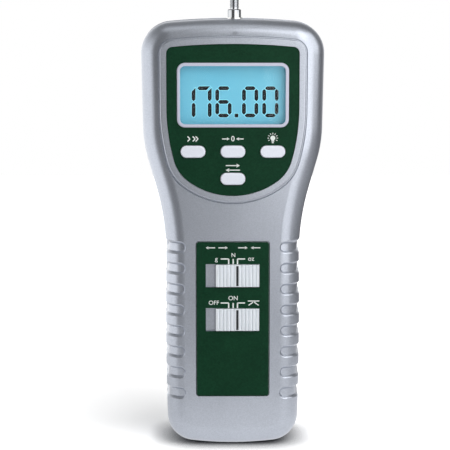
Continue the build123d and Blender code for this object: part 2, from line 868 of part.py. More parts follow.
def make_load_cell_bracket():
    """Metal chassis: a back plate for the stand threads and a shelf that clamps the beam's end."""
    front_y = back_inner_y - chassis_thickness
    plate = block(-chassis_width / 2, chassis_width / 2, front_y, back_inner_y,
                  chassis_bottom_z, chassis_top_z)
    fixed_x = beam_ends()[0]
    shelf_bottom_z = beam_bottom_z - shelf_thickness
    plate += block(fixed_x, fixed_x + shelf_length, spindle_y - beam_depth / 2, front_y,
                   shelf_bottom_z, beam_bottom_z)
    for x in shelf_screw_places():
        plate -= rod_z(x, spindle_y, m3_radius + m3_clearance, shelf_bottom_z - cut_margin,
                       beam_bottom_z + cut_margin)
    for x, z in stand_places():
        plate -= rod_y(x, z, insert_radius + seat_gap, front_y - cut_margin, back_inner_y + cut_margin)
    return plate


def make_load_cell_screws():
    shelf_bottom_z = beam_bottom_z - shelf_thickness
    screws = []
    for x in shelf_screw_places():
        shank = rod_z(x, spindle_y, m3_radius, shelf_bottom_z, beam_top_z - shelf_screw_stop)
        head = rod_z(x, spindle_y, m3_head_radius, shelf_bottom_z - m3_head_height, shelf_bottom_z)
        screws.append(shank + head)
    return Compound(screws)


def make_stand_inserts():
    inserts = []
    for x, z in stand_places():
        front_y = back_y - insert_length
        sleeve = rod_y(x, z, insert_radius, front_y, back_y)
        inserts.append(sleeve - rod_y(x, z, stand_hole_radius, front_y - cut_margin, back_y + cut_margin))
    return Compound(inserts)


# ================================================================ spindle and hook
def make_spindle_bush():
    top_z = housing_height + bush_proud
    bottom_z = top_z - bush_length
    bush = rod_z(spindle_x, spindle_y, bush_radius, bottom_z, top_z)
    bush += rod_z(spindle_x, spindle_y, bush_flange_radius, bottom_z, bottom_z + bush_flange_height)
    return bush - rod_z(spindle_x, spindle_y, spindle_radius + bush_running_gap,
                        bottom_z - cut_margin, top_z + cut_margin)


def spindle_top_z():
    return housing_height + spindle_collar_height


def make_spindle():
    shaft = rod_z(spindle_x, spindle_y, spindle_radius, beam_top_z, spindle_top_z())
    shaft = chamfer(shaft.faces().sort_by(Axis.Z)[-1].edges(), spindle_edge)
    shaft += rod_z(spindle_x, spindle_y, spindle_foot_radius, beam_top_z, beam_top_z + spindle_foot_height)
    shaft -= rod_z(spindle_x, spindle_y, thread_radius + thread_running_gap,
                   spindle_top_z() - thread_engagement - thread_hole_spare, spindle_top_z() + cut_margin)
    return shaft - rod_z(spindle_x, spindle_y, m3_radius + screw_gap, beam_top_z - cut_margin,
                         beam_top_z + spindle_screw_bite + screw_hole_spare)


def make_spindle_screw():
    head_top_z = beam_bottom_z
    screw = rod_z(spindle_x, spindle_y, m3_radius, head_top_z, beam_top_z + spindle_screw_bite)
    return screw + rod_z(spindle_x, spindle_y, m3_head_radius, head_top_z - m3_head_height, head_top_z)


def hook_geometry():
    """Start of the bend, centre of the ring, and the angle that the neck leans by."""
    lean_cos = hook_neck_radius / (hook_ring_radius + hook_neck_radius)
    lean_sin = sqrt(1 - lean_cos**2)
    start_z = spindle_top_z() + hook_shank_length - thread_engagement
    ring_z = start_z + (hook_neck_radius + hook_ring_radius) * lean_sin
    return start_z, ring_z, lean_cos, lean_sin


def make_tension_hook():
    """A round rod: threaded shank, a neck that leans aside, and an open ring centred on the axis."""
    start_z, ring_z, lean_cos, lean_sin = hook_geometry()
    neck_end = (-hook_neck_radius * (1 - lean_cos), start_z + hook_neck_radius * lean_sin)
    half_turn = asin(lean_sin) / 2
    neck_middle = (-hook_neck_radius * (1 - cos(half_turn)), start_z + hook_neck_radius * sin(half_turn))
    tip_angle = radians(-hook_mouth_angle)
    tip = (hook_ring_radius * cos(tip_angle), ring_z + hook_ring_radius * sin(tip_angle))
    shank_top_z = start_z - cut_margin
    path = Wire([
        Line((0, shank_top_z), (0, start_z)),
        ThreePointArc((0, start_z), neck_middle, neck_end),
        ThreePointArc(neck_end, (0, ring_z + hook_ring_radius), tip),
    ])
    path = Plane(origin=(spindle_x, spindle_y, 0), x_dir=(1, 0, 0), z_dir=(0, -1, 0)) * path
    section = Plane(origin=(spindle_x, spindle_y, shank_top_z), z_dir=(0, 0, 1)) * Circle(hook_rod_radius)
    bend = sweep(section, path=path)
    tip_ball = Pos(spindle_x + tip[0], spindle_y, tip[1]) * Sphere(hook_rod_radius)
    shank = rod_z(spindle_x, spindle_y, thread_radius, spindle_top_z() - thread_engagement, shank_top_z)
    return shank + bend + tip_ball


# ================================================================ case screws, cells and door
def make_case_screws():
    head_back_y = back_y - case_head_depth + case_screw_head_height
    screws = []
    for x, z in case_post_places:
        shank = rod_y(x, z, case_screw_radius, parting_y - case_screw_bite, back_y - case_head_depth)
        head = rod_y(x, z, case_screw_head_radius, back_y - case_head_depth, head_back_y)
        screws.append(shank + head)
    return Compound(screws)


def cell_columns_x():
    return [(index - (cell_columns - 1) / 2) * cell_pitch for index in range(cell_columns)]


def cell_axis_y():
    return bay_front_y() + cell_radius + fit_gap


def make_battery_cells():
    """Two cells end to end in each column; the middle column faces the other way."""
    cells = []
    for index, x in enumerate(cell_columns_x()):
        turned = index % 2 == 1
        full_length = cell_length + cell_tip_length
        for row in range(2):
            low = bay_bottom_z + contact_thickness + row * full_length
            if turned:
                low = bay_bottom_z + bay_length - contact_thickness - (row + 1) * full_length
            body_low = low + cell_tip_length if not turned else low
            tip_low = low if not turned else low + cell_length
            body = rod_z(x, cell_axis_y(), cell_radius, body_low, body_low + cell_length)
            cells.append(body + rod_z(x, cell_axis_y(), cell_tip_radius, tip_low, tip_low + cell_tip_length))
    return Compound(cells)


def make_battery_contacts():
    """A flat plate at one end of each column and a plate with a coned spring at the other."""
    contacts = []
    spring_length = bay_length - 2 * contact_thickness - 2 * (cell_length + cell_tip_length) - fit_gap
    low_z, high_z = bay_bottom_z, bay_bottom_z + bay_length
    y_low, y_high = cell_axis_y() - contact_width / 2, cell_axis_y() + contact_width / 2
    for index, x in enumerate(cell_columns_x()):
        x_low, x_high = x - contact_width / 2, x + contact_width / 2
        low_plate = block(x_low, x_high, y_low, y_high, low_z, low_z + contact_thickness)
        high_plate = block(x_low, x_high, y_low, y_high, high_z - contact_thickness, high_z)
        cone = Cone(contact_radius, contact_tip_radius, spring_length)
        if index % 2 == 0:
            place = Pos(x, cell_axis_y(), high_z - contact_thickness - spring_length / 2) * Rot(180, 0, 0)
            high_plate += place * cone
        else:
            low_plate += Pos(x, cell_axis_y(), low_z + contact_thickness + spring_length / 2) * cone
        contacts += [low_plate, high_plate]
    return Compound(contacts)


def make_battery_door():
    door = slab(door_outline(), back_y - door_thickness, back_y)
    past_y = back_y + cut_margin
    for z in door_screw_places():
        door -= rod_y(0, z, door_screw_radius + fit_gap, back_y - door_thickness - cut_margin, past_y)
        door -= rod_y(0, z, door_screw_head_radius + fit_gap, back_y - door_screw_head_height, past_y)
    # Finger grip: a ladder of flutes near the top screw.
    grip_z = door_top_z - door_screw_edge - door_rib_drop
    for index in range(door_rib_count):
        flute_z = grip_z - index * door_rib_pitch
        door -= block(-door_rib_length / 2, door_rib_length / 2, back_y - door_rib_depth, past_y,
                      flute_z - door_rib_width / 2, flute_z + door_rib_width / 2)
    return door


def make_door_screws():
    head_front_y = back_y - door_screw_head_height
    shank_front_y = back_y - door_thickness - door_screw_length + door_hole_spare
    screws = []
    for z in door_screw_places():
        shank = rod_y(0, z, door_screw_radius, shank_front_y, head_front_y)
        screws.append(shank + rod_y(0, z, door_screw_head_radius, head_front_y, back_y))
    return Compound(screws)


# ================================================================ sockets
def socket_board_back_y():
    return back_inner_y - chassis_thickness - fit_gap


def side_x(z):
    """Half width of the housing's side at a height between the top corner and the shoulder."""
    top_z = head_corner_z()
    share = (top_z - z) / (top_z - shoulder_z)
    return head_width / 2 + share * (shoulder_width - head_width) / 2


def socket_board_x():
    """Where the sockets' bodies end on their board."""
    return socket_board_inset - side_x(power_socket_z)


def make_socket(z, body_size, nose_radius, bore_radius, bore_depth):
    """A jack: square body on its board, round nose in the side wall, and the bore for the plug."""
    width, height = body_size
    nose_x = -side_x(z) + socket_recess
    body_x = -side_x(z) + wall + socket_body_gap
    body = block(body_x, socket_board_x(), socket_y - width / 2, socket_y + width / 2,
                 z - height / 2, z + height / 2)
    body += rod_x(socket_y, z, nose_radius, nose_x, body_x + nose_overlap)
    return body - rod_x(socket_y, z, bore_radius, nose_x - cut_margin, nose_x + bore_depth)


def make_power_socket():
    socket = make_socket(power_socket_z, power_body_size, power_nose_radius, power_bore_radius,
                         power_bore_depth)
    nose_x = -side_x(power_socket_z) + socket_recess
    return socket + rod_x(socket_y, power_socket_z, power_pin_radius, nose_x + power_pin_recess,
                          nose_x + power_bore_depth + nose_overlap)


def make_output_socket():
    return make_socket(output_socket_z, output_body_size, output_nose_radius, output_bore_radius,
                       output_bore_depth)


def make_socket_board():
    low_z = output_socket_z - output_body_size[1] / 2 - socket_board_margin
    high_z = power_socket_z + power_body_size[1] / 2
    front_y = socket_y - power_body_size[0] / 2
    return block(socket_board_x(), socket_board_x() + socket_board_thickness, front_y,
                 socket_board_back_y(), low_z, high_z)


# ================================================================ write every node
def all_nodes():
    nodes = {
        "front_shell": make_front_shell(),
        "rear_shell": make_rear_shell(),
        "display_faceplate": make_display_faceplate(),
        "switch_faceplate": make_switch_faceplate(),
        "window_frame": make_window_frame(),
        "display_window": make_display_window(),
        "lcd_panel": make_lcd_panel(),
        "lcd_holder": make_lcd_holder(),
        "lcd_connectors": make_lcd_connectors(),
        "backlight_panel": make_backlight_panel(),
        "main_board": make_main_board(),
        "board_chips": make_board_chips(),
        "board_screws": make_board_screws(),
        "button_switches": make_button_switches(),
        "units_switch_body": make_slide_body("units_slider"),
        "power_switch_body": make_slide_body("power_slider"),
        "load_cell": make_load_cell(),
        "load_cell_bracket": make_load_cell_bracket(),
        "load_cell_screws": make_load_cell_screws(),
        "stand_inserts": make_stand_inserts(),
        "spindle_bush": make_spindle_bush(),
        "spindle": make_spindle(),
        "spindle_screw": make_spindle_screw(),
        "tension_hook": make_tension_hook(),
        "case_screws": make_case_screws(),
        "battery_cells": make_battery_cells(),
        "battery_contacts": make_battery_contacts(),
        "battery_door": make_battery_door(),
        "door_screws": make_door_screws(),
        "power_socket": make_power_socket(),
        "output_socket": make_output_socket(),
        "socket_board": make_socket_board(),
    }
    for name in button_places:
        nodes[name] = make_button(name)
    for name in slider_places:
        nodes[name] = make_slider(name)
    return nodes


os.makedirs("parts", exist_ok=True)
for node_name, shape in all_nodes().items():
    export_step(shape, f"parts/{node_name}.step")
    print(node_name, len(shape.solids()), round(shape.volume, 1))
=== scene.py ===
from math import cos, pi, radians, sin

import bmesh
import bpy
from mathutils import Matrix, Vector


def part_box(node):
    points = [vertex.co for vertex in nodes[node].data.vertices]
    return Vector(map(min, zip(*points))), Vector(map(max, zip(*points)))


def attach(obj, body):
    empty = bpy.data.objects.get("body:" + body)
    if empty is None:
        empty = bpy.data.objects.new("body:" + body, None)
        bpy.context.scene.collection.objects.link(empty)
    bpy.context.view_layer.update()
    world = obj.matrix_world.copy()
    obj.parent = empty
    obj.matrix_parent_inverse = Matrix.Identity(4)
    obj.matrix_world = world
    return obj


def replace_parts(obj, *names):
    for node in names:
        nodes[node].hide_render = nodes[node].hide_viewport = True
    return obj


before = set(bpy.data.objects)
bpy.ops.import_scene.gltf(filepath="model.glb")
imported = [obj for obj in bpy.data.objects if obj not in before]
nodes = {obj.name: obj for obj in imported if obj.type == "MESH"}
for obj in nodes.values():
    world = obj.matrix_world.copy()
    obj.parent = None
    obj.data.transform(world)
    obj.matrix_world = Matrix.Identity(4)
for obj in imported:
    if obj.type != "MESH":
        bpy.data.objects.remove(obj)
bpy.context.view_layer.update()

# %% [markdown]
# # A handheld force gauge, dressed around its construction model
#
# The frame holds every rigid piece at its real size and place, and those pieces are never moved
# here. This notebook gives each of them a finish, and adds what is printed, threaded or pressed
# into them: display digits, switch marks, key symbols, screw recesses, threads and index lines.
# Lengths are in metres, and `mm` turns millimetres into metres.

mm = 0.001

# %% [markdown]
# ## Camera
#
# The camera stands a little under a metre away with a long lens, which keeps the sides of the gauge
# nearly parallel. It is slightly above the middle of the housing and looks down by eight degrees,
# so that the floor shows under the foot. It is aimed with a tracking rotation and not with a lens
# shift, because a plain aim stays right in every other view.

# %% Camera
camera_place = Vector((-10.1, -797.2, 219.9)) * mm
camera_aim = Vector((-3.8, -22.0, 110.7)) * mm
focal_length = 129.1
sensor_width = 36.0


def make_camera():
    data = bpy.data.cameras.new("studio_camera")
    data.sensor_width = sensor_width
    data.lens = focal_length
    camera = bpy.data.objects.new("studio_camera", data)
    bpy.context.scene.collection.objects.link(camera)
    camera.location = camera_place
    camera.rotation_euler = (camera_aim - camera_place).to_track_quat("-Z", "Y").to_euler()
    bpy.context.scene.camera = camera
    return camera


camera = make_camera()
bpy.context.scene.view_settings.view_transform = "Standard"
print("camera stands", round((camera_aim - camera_place).length, 3), "m away")

# %% [markdown]
# ## Building shader trees
#
# Every finish below is a node tree. Small helpers keep those trees short: they write a colour on
# the everyday 0 to 255 scale, add a node with its settings, link or type a value, mix two colours
# or two values by a mask, stretch a value to another range, and join two values by an operation.

# %% Helpers for shader trees
def shade(red, green, blue):
    """An everyday 0 to 255 colour as the linear numbers that a shader needs."""
    return tuple(((c / 255 + 0.055) / 1.055) ** 2.4 if c > 10 else c / 255 / 12.92
                 for c in (red, green, blue)) + (1.0,)


def add_node(tree, kind, settings=None, **inputs):
    node = tree.nodes.new("ShaderNode" + kind)
    for name, value in (settings or {}).items():
        setattr(node, name, value)
    for name, value in inputs.items():
        feed(tree, node.inputs[name.replace("_", " ")], value)
    return node


def feed(tree, socket, value):
    """Links a socket to another one, or types a plain value into it."""
    if isinstance(value, bpy.types.NodeSocket):
        tree.links.new(value, socket)
    else:
        socket.default_value = value


def mix(tree, kind, first_input, output, values):
    """A Mix node. Its sockets are numbered, because those of all kinds share their names."""
    node = add_node(tree, "Mix", {"data_type": kind})
    for number, value in zip((0, first_input, first_input + 1), values):
        feed(tree, node.inputs[number], value)
    return node.outputs[output]


def mix_colours(tree, mask, first, second):
    return mix(tree, "RGBA", 6, 2, (mask, first, second))


def mix_values(tree, mask, first, second):
    return mix(tree, "FLOAT", 2, 0, (mask, first, second))


def stretch(tree, value, low, high, from_low=0.0, from_high=1.0):
    node = add_node(tree, "MapRange", None, Value=value, From_Min=from_low, From_Max=from_high,
                    To_Min=low, To_Max=high)
    return node.outputs["Result"]


def combine(tree, operation, first, second):
    node = add_node(tree, "Math", {"operation": operation})
    feed(tree, node.inputs[0], first)
    feed(tree, node.inputs[1], second)
    return node.outputs[0]


def mix_share(tree, first, second, share):
    """A weighted sum of two masks."""
    return combine(tree, "ADD", combine(tree, "MULTIPLY", first, 1 - share),
                   combine(tree, "MULTIPLY", second, share))


print("shader helpers ready")

# %% [markdown]
# ## Shared effect: fine grain
#
# Sprayed paint, moulded plastic and printed film all carry a grain much finer than a millimetre,
# a few brighter specks, and a slow drift of tone over some centimetres. One node group makes all
# three from the object's own coordinates, so that the grain sticks to the piece. It gives out
# masks only. Each finish decides what they do to its colour, roughness and normal.

# %% Node group: surface grain
def new_group(name, inputs, outputs):
    group = bpy.data.node_groups.new(name, "ShaderNodeTree")
    for socket_name, value in inputs.items():
        socket = group.interface.new_socket(socket_name, in_out="INPUT", socket_type="NodeSocketFloat")
        socket.default_value = value
    for socket_name in outputs:
        group.interface.new_socket(socket_name, in_out="OUTPUT", socket_type="NodeSocketFloat")
    return group, group.nodes.new("NodeGroupInput"), group.nodes.new("NodeGroupOutput")


def make_grain_group():
    group, given, result = new_group(
        "surface_grain", {"Grain Size": 0.25, "Speck Size": 0.4, "Cloud Size": 30.0},
        ("Grain", "Speck", "Cloud"))
    place = add_node(group, "TexCoord").outputs["Object"]
    scales = [combine(group, "DIVIDE", 1 / mm, given.outputs[name])
              for name in ("Grain Size", "Speck Size", "Cloud Size")]
    grain = add_node(group, "TexNoise", None, Vector=place, Scale=scales[0], Detail=3.0)
    speck = add_node(group, "TexVoronoi", None, Vector=place, Scale=scales[1])
    cloud = add_node(group, "TexNoise", None, Vector=place, Scale=scales[2], Detail=2.0)
    speck_tone = add_node(group, "SeparateColor", None, Color=speck.outputs["Color"]).outputs[0]
    feed(group, result.inputs["Grain"], grain.outputs["Fac"])
    feed(group, result.inputs["Speck"], speck_tone)
    feed(group, result.inputs["Cloud"], stretch(group, cloud.outputs["Fac"], 0, 1, 0.3, 0.7))
    return group


grain_group = make_grain_group()
print("group:", grain_group.name)

# %% [markdown]
# ## Shared effect: tool marks
#
# Turned and milled metal keeps the marks of the cutter: fine parallel lines that break up its
# gloss. A noise stretched strongly along one axis gives such lines. The group takes how many
# lines there are to a millimetre across each axis, so one group serves both a shaft turned about
# its length and a block milled along its side.

# %% Node group: tool marks
def make_tool_mark_group():
    group, given, result = new_group(
        "tool_marks", {"Across X": 1.0, "Across Y": 1.0, "Across Z": 1.0}, ("Lines", "Wear"))
    place = add_node(group, "TexCoord").outputs["Object"]
    spread = add_node(group, "CombineXYZ", None, X=given.outputs["Across X"],
                      Y=given.outputs["Across Y"], Z=given.outputs["Across Z"])
    scaled = add_node(group, "VectorMath", {"operation": "MULTIPLY"})
    feed(group, scaled.inputs[0], place)
    feed(group, scaled.inputs[1], spread.outputs[0])
    lines = add_node(group, "TexNoise", None, Vector=scaled.outputs[0], Scale=1 / mm, Detail=2.0)
    wear = add_node(group, "TexNoise", None, Vector=place, Scale=0.2 / mm, Detail=4.0)
    feed(group, result.inputs["Lines"], lines.outputs["Fac"])
    feed(group, result.inputs["Wear"], stretch(group, wear.outputs["Fac"], 0, 1, 0.35, 0.65))
    return group


tool_mark_group = make_tool_mark_group()
print("group:", tool_mark_group.name)

# %% [markdown]
# ## Two kinds of finish
#
# Most pieces are either plastic with a grain or metal with tool marks. Each kind has a function
# that places its group, lets the masks move the colour and the roughness a little, and turns the
# grain into relief with a Bump node. The plain numbers are set on the shader's own sockets.

# %% Makers of grained and of tooled finishes
noise_middle = (0.3, 0.7)  # the range that a noise really fills
grain_roughness_swing = 0.05
line_roughness_swing = 0.06
grain_depth = 0.05 * mm
line_depth = 0.03 * mm


def new_material(name, **sockets):
    material = bpy.data.materials.new(name)
    material.use_nodes = True
    shader = material.node_tree.nodes["Principled BSDF"]
    for socket_name, value in sockets.items():
        shader.inputs[socket_name.replace("_", " ")].default_value = value
    return material, material.node_tree, shader


def place_group(tree, group, **inputs):
    node = add_node(tree, "Group", {"node_tree": group})
    for name, value in inputs.items():
        node.inputs[name.replace("_", " ")].default_value = value
    return node


def roughen(tree, shader, texture, roughness, swing, relief, depth):
    """Lets one texture move the roughness and raise the surface."""
    feed(tree, shader.inputs["Roughness"],
         stretch(tree, texture, roughness - swing, roughness + swing, *noise_middle))
    bump = add_node(tree, "Bump", None, Strength=relief, Distance=depth, Height=texture)
    feed(tree, shader.inputs["Normal"], bump.outputs[0])


def grained(name, dark, light, roughness, relief, grain=0.25, speck=0.4, cloud=30.0, speck_share=0.5,
            **sockets):
    """Plastic or paint whose tone wanders between two colours, with fine relief."""
    material, tree, shader = new_material(name, **sockets)
    effect = place_group(tree, grain_group, Grain_Size=grain, Speck_Size=speck, Cloud_Size=cloud)
    drift = mix_share(tree, effect.outputs["Cloud"], effect.outputs["Speck"], speck_share)
    feed(tree, shader.inputs["Base Color"], mix_colours(tree, drift, dark, light))
    roughen(tree, shader, effect.outputs["Grain"], roughness, grain_roughness_swing, relief, grain_depth)
    return material


def tooled(name, dark, light, roughness, relief, lines, **sockets):
    """Metal with lines of a cutter, given in lines to a millimetre across X, Y and Z."""
    material, tree, shader = new_material(name, Metallic=1.0, **sockets)
    across_x, across_y, across_z = lines
    effect = place_group(tree, tool_mark_group, Across_X=across_x, Across_Y=across_y,
                         Across_Z=across_z)
    feed(tree, shader.inputs["Base Color"], mix_colours(tree, effect.outputs["Wear"], dark, light))
    roughen(tree, shader, effect.outputs["Lines"], roughness, line_roughness_swing, relief, line_depth)
    return material


finishes = {}
print("finish makers ready")

# %% [markdown]
# ## Silver paint
#
# The two shells and the battery door are grey plastic sprayed with a satin silver paint. The
# paint holds tiny flakes, which act partly like metal. A share of metallic with a fairly high
# roughness gives the broad, soft bands of light that such a coat shows along its round edges.

# %% Silver paint
finishes["silver_paint"] = grained(
    "satin_silver_paint", dark=shade(164, 169, 178), light=shade(188, 193, 203), roughness=0.33,
    relief=0.12, grain=0.3, speck=0.3, cloud=45.0, speck_share=0.6, Metallic=0.88,
    Coat_Weight=0.12, Coat_Roughness=0.35)
print("silver paint")

# %% [markdown]
# ## Printed film, trim and keys
#
# The dark green plates are textured film printed on the back. The display frame, the keys and the
# slide switch knobs are pale plastics of slightly different gloss. They differ only in colour,
# grain and roughness, so all of them come from the same maker.

# %% Film, trim, keys and inner plastics
finishes["green_faceplate"] = grained(
    "textured_green_film", dark=shade(3, 46, 27), light=shade(12, 60, 37), roughness=0.5,
    relief=0.3, grain=0.5, speck=0.7, cloud=12.0, speck_share=0.6, Specular_IOR_Level=0.12)
finishes["pale_trim"] = grained(
    "lavender_trim", dark=shade(196, 197, 216), light=shade(208, 209, 226), roughness=0.4,
    relief=0.06, grain=0.3)
finishes["button_plastic"] = grained(
    "key_plastic", dark=shade(230, 234, 245), light=shade(238, 242, 252), roughness=0.3,
    relief=0.05, grain=0.35)
finishes["slider_plastic"] = grained(
    "knob_plastic", dark=shade(230, 236, 242), light=shade(240, 245, 250), roughness=0.38,
    relief=0.06, grain=0.3)
finishes["white_plastic"] = grained(
    "white_moulding", dark=shade(222, 222, 218), light=shade(234, 234, 231), roughness=0.45,
    relief=0.08)
finishes["black_plastic"] = grained(
    "black_moulding", dark=shade(16, 16, 17), light=shade(28, 28, 30), roughness=0.42, relief=0.12)
print("plastics:", len(finishes))

# %% [markdown]
# ## Metals
#
# The spindle, its bush and the hook are bright plated steel, the screws are plain zinc, and the
# threaded inserts are turned brass. Lines across Z run round an upright shaft. The load cell is
# milled aluminium, whose lines run along its length.

# %% Metals
finishes["chrome_plate"] = tooled(
    "chrome_plate", dark=shade(178, 180, 184), light=shade(194, 196, 199), roughness=0.12,
    relief=0.04, lines=(0.3, 0.3, 6.0), Specular_Tint=(0.3, 0.31, 0.32, 1))
finishes["bright_bush"] = tooled(
    "nickel_plated_bush", dark=shade(214, 213, 210), light=shade(232, 231, 228), roughness=0.18,
    relief=0.05, lines=(1.0, 1.0, 5.0))
finishes["screw_steel"] = tooled(
    "zinc_plated_steel", dark=shade(168, 170, 176), light=shade(200, 202, 206), roughness=0.3,
    relief=0.12, lines=(2.0, 0.5, 2.0))
finishes["machined_aluminium"] = tooled(
    "milled_aluminium", dark=shade(206, 208, 212), light=shade(222, 224, 228), roughness=0.32,
    relief=0.2, lines=(0.2, 3.0, 3.0))
finishes["brass_insert"] = tooled(
    "turned_brass", dark=shade(186, 148, 80), light=shade(214, 178, 106), roughness=0.26,
    relief=0.15, lines=(0.8, 5.0, 0.8))
finishes["nickel_contact"] = tooled(
    "nickel_spring", dark=shade(188, 184, 174), light=shade(214, 211, 202), roughness=0.3,
    relief=0.1, lines=(3.0, 0.5, 3.0))
print("finishes so far:", len(finishes))

# %% [markdown]
# ## Display glass
#
# A liquid crystal glass is clear, with a pale blue film behind it that both reflects and glows.
# Its colour, in reflection as in glow, is painted slightly lighter towards +X, a painted shading of
# the light behind it that comes in from one side, with a slow drift on top. The window in
# front of it is clear acrylic, coated against glare, so its index is set low. Light Path lets
# lamps shine straight through that window, which otherwise would leave the glass behind it in
# the dark.

# %% Display glass and window
glass_half_width = 28 * mm
cloud_share = 0.4


def make_display_glass():
    material, tree, shader = new_material("backlit_display_glass", Emission_Strength=0.05,
                                          Specular_IOR_Level=0.1)
    place = add_node(tree, "TexCoord").outputs["Object"]
    across = add_node(tree, "SeparateXYZ", None, Vector=place).outputs["X"]
    cloud = place_group(tree, grain_group, Grain_Size=0.6, Speck_Size=1.0, Cloud_Size=22.0)
    # Painted shading: the colour, base and glow alike, is lighter towards +X, as if the light behind came
    # in from that side.
    side = stretch(tree, across, 0.0, 1.0, -glass_half_width, glass_half_width)
    drift = mix_share(tree, side, cloud.outputs["Cloud"], cloud_share)
    colour = mix_colours(tree, drift, shade(82, 143, 163), shade(89, 147, 165))
    feed(tree, shader.inputs["Base Color"], colour)
    feed(tree, shader.inputs["Emission Color"], colour)
    feed(tree, shader.inputs["Roughness"], stretch(tree, cloud.outputs["Grain"], 0.3, 0.4))
    return material


def make_clear_window():
    material, tree, shader = new_material("coated_acrylic", IOR=1.15, Transmission_Weight=1.0)
    marks = place_group(tree, grain_group, Grain_Size=1.5, Speck_Size=2.0, Cloud_Size=15.0)
    feed(tree, shader.inputs["Base Color"],
         mix_colours(tree, marks.outputs["Cloud"], (0.97, 0.99, 1, 1), (1, 1, 1, 1)))
    feed(tree, shader.inputs["Roughness"], stretch(tree, marks.outputs["Cloud"], 0.0, 0.03))
    shadow = add_node(tree, "LightPath").outputs["Is Shadow Ray"]
    feed(tree, shader.inputs["Alpha"], combine(tree, "SUBTRACT", 1.0, shadow))
    return material


finishes["display_glass"] = make_display_glass()
finishes["clear_window"] = make_clear_window()
print("display finishes ready")

# %% [markdown]
# ## Circuit board, elastomer and cells
#
# The board has copper tracks under its green mask, which a brick texture draws as runs of short
# straight lines. The elastomer strips that join the glass to the
# board are stacks of thin dark and pale layers. Each cell is wrapped in a plain dark jacket with
# one lighter band near its positive end.

# %% Patterned finishes
cell_pitch = 53.0 * mm
wave_unit = 0.3142  # a wave texture of scale 1 repeats after this many metres
band_start = 0.78


def make_circuit_board():
    material, tree, shader = new_material("solder_mask", Specular_IOR_Level=0.6)
    place = add_node(tree, "TexCoord").outputs["Object"]
    flat = add_node(tree, "Mapping", None, Vector=place, Rotation=(-pi / 2, 0, 0))
    tracks = add_node(tree, "TexBrick", None, Vector=flat.outputs[0], Scale=0.25 / mm,
                      Mortar_Size=0.06, Brick_Width=1.7, Row_Height=0.3)
    grain = place_group(tree, grain_group, Grain_Size=0.3)
    feed(tree, shader.inputs["Base Color"],
         mix_colours(tree, tracks.outputs["Fac"], shade(14, 92, 48), shade(44, 138, 70)))
    feed(tree, shader.inputs["Roughness"], stretch(tree, grain.outputs["Grain"], 0.25, 0.4))
    bump = add_node(tree, "Bump", None, Strength=0.3, Distance=0.04 * mm, Height=tracks.outputs["Fac"])
    feed(tree, shader.inputs["Normal"], bump.outputs[0])
    return material


def make_elastomer():
    material, tree, shader = new_material("layered_elastomer")
    place = add_node(tree, "TexCoord").outputs["Object"]
    layers = add_node(tree, "TexWave", {"bands_direction": "X"}, Vector=place, Scale=0.35 / mm)
    feed(tree, shader.inputs["Base Color"],
         mix_colours(tree, layers.outputs["Fac"], shade(40, 36, 40), shade(214, 176, 190)))
    feed(tree, shader.inputs["Roughness"], stretch(tree, layers.outputs["Fac"], 0.7, 0.55))
    return material


def make_cell_jacket():
    material, tree, shader = new_material("cell_jacket", Metallic=0.6)
    place = add_node(tree, "TexCoord").outputs["Object"]
    along = add_node(tree, "TexWave", {"bands_direction": "Z", "wave_profile": "SAW"}, Vector=place,
                     Scale=wave_unit / cell_pitch, Phase_Offset=1.6)
    grain = place_group(tree, grain_group, Grain_Size=0.5)
    band = combine(tree, "GREATER_THAN", along.outputs["Fac"], band_start)
    feed(tree, shader.inputs["Base Color"],
         mix_colours(tree, band, shade(38, 40, 48), shade(188, 150, 84)))
    feed(tree, shader.inputs["Roughness"], stretch(tree, grain.outputs["Grain"], 0.28, 0.4))
    return material


finishes["circuit_board"] = make_circuit_board()
finishes["elastomer"] = make_elastomer()
finishes["cell_jacket"] = make_cell_jacket()
print("finishes:", len(finishes))

# %% [markdown]
# ## Dressing the frame
#
# Each node of the frame came in with a plain material that is named after its slot in the part's
# record. So the finish is found by that name, and no list of pieces has to be kept here.

# %% Every node gets its finish
for node_name, node in nodes.items():
    slot_name = node.data.materials[0].name
    node.data.materials[0] = finishes[slot_name]
print("dressed:", len(nodes), "nodes with", len(finishes), "finishes")

# %% [markdown]
# ## Modelling helpers
#
# Each added piece starts from a primitive at its size and place, is shaped in edit mode, and ends
# with its place held by its mesh, as the frame's own pieces are. Operators act on whatever is
# selected, so everything is deselected first.

# %% Helpers for modelling
def clear_selection():
    if bpy.context.mode != "OBJECT":
        bpy.ops.object.mode_set(mode="OBJECT")
    bpy.ops.object.select_all(action="DESELECT")


def apply_scale():
    bpy.ops.object.transform_apply(location=False, rotation=False, scale=True)


def edit_all():
    """Opens the active piece in edit mode, or keeps it there, with all of it selected."""
    bpy.ops.object.mode_set(mode="EDIT")
    bpy.ops.mesh.select_all(action="SELECT")


def pick(kind, test):
    """In edit mode, selects the vertices, edges or faces whose centre passes a test."""
    bpy.ops.mesh.select_mode(type=kind)
    bpy.ops.mesh.select_all(action="DESELECT")
    mesh = bmesh.from_edit_mesh(bpy.context.object.data)
    group = {"VERT": mesh.verts, "EDGE": mesh.edges, "FACE": mesh.faces}[kind]
    for part in group:
        centre = part.co if kind == "VERT" else sum((v.co for v in part.verts), Vector()) / len(part.verts)
        if test(centre):
            part.select_set(True)
    bmesh.update_edit_mesh(bpy.context.object.data)


def settle(piece, name, material, body):
    """Names a shaped piece, puts its place into its mesh, and gives it finish and body."""
    clear_selection()
    piece.select_set(True)
    bpy.context.view_layer.objects.active = piece
    bpy.ops.object.transform_apply(location=True, rotation=True, scale=True)
    piece.name = piece.data.name = name
    if not piece.data.materials:
        piece.data.materials.append(material)
    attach(piece, body)
    return piece


def join(pieces):
    clear_selection()
    for piece in pieces:
        piece.select_set(True)
    bpy.context.view_layer.objects.active = pieces[0]
    bpy.ops.object.join()
    return bpy.context.object


print("modelling helpers ready")

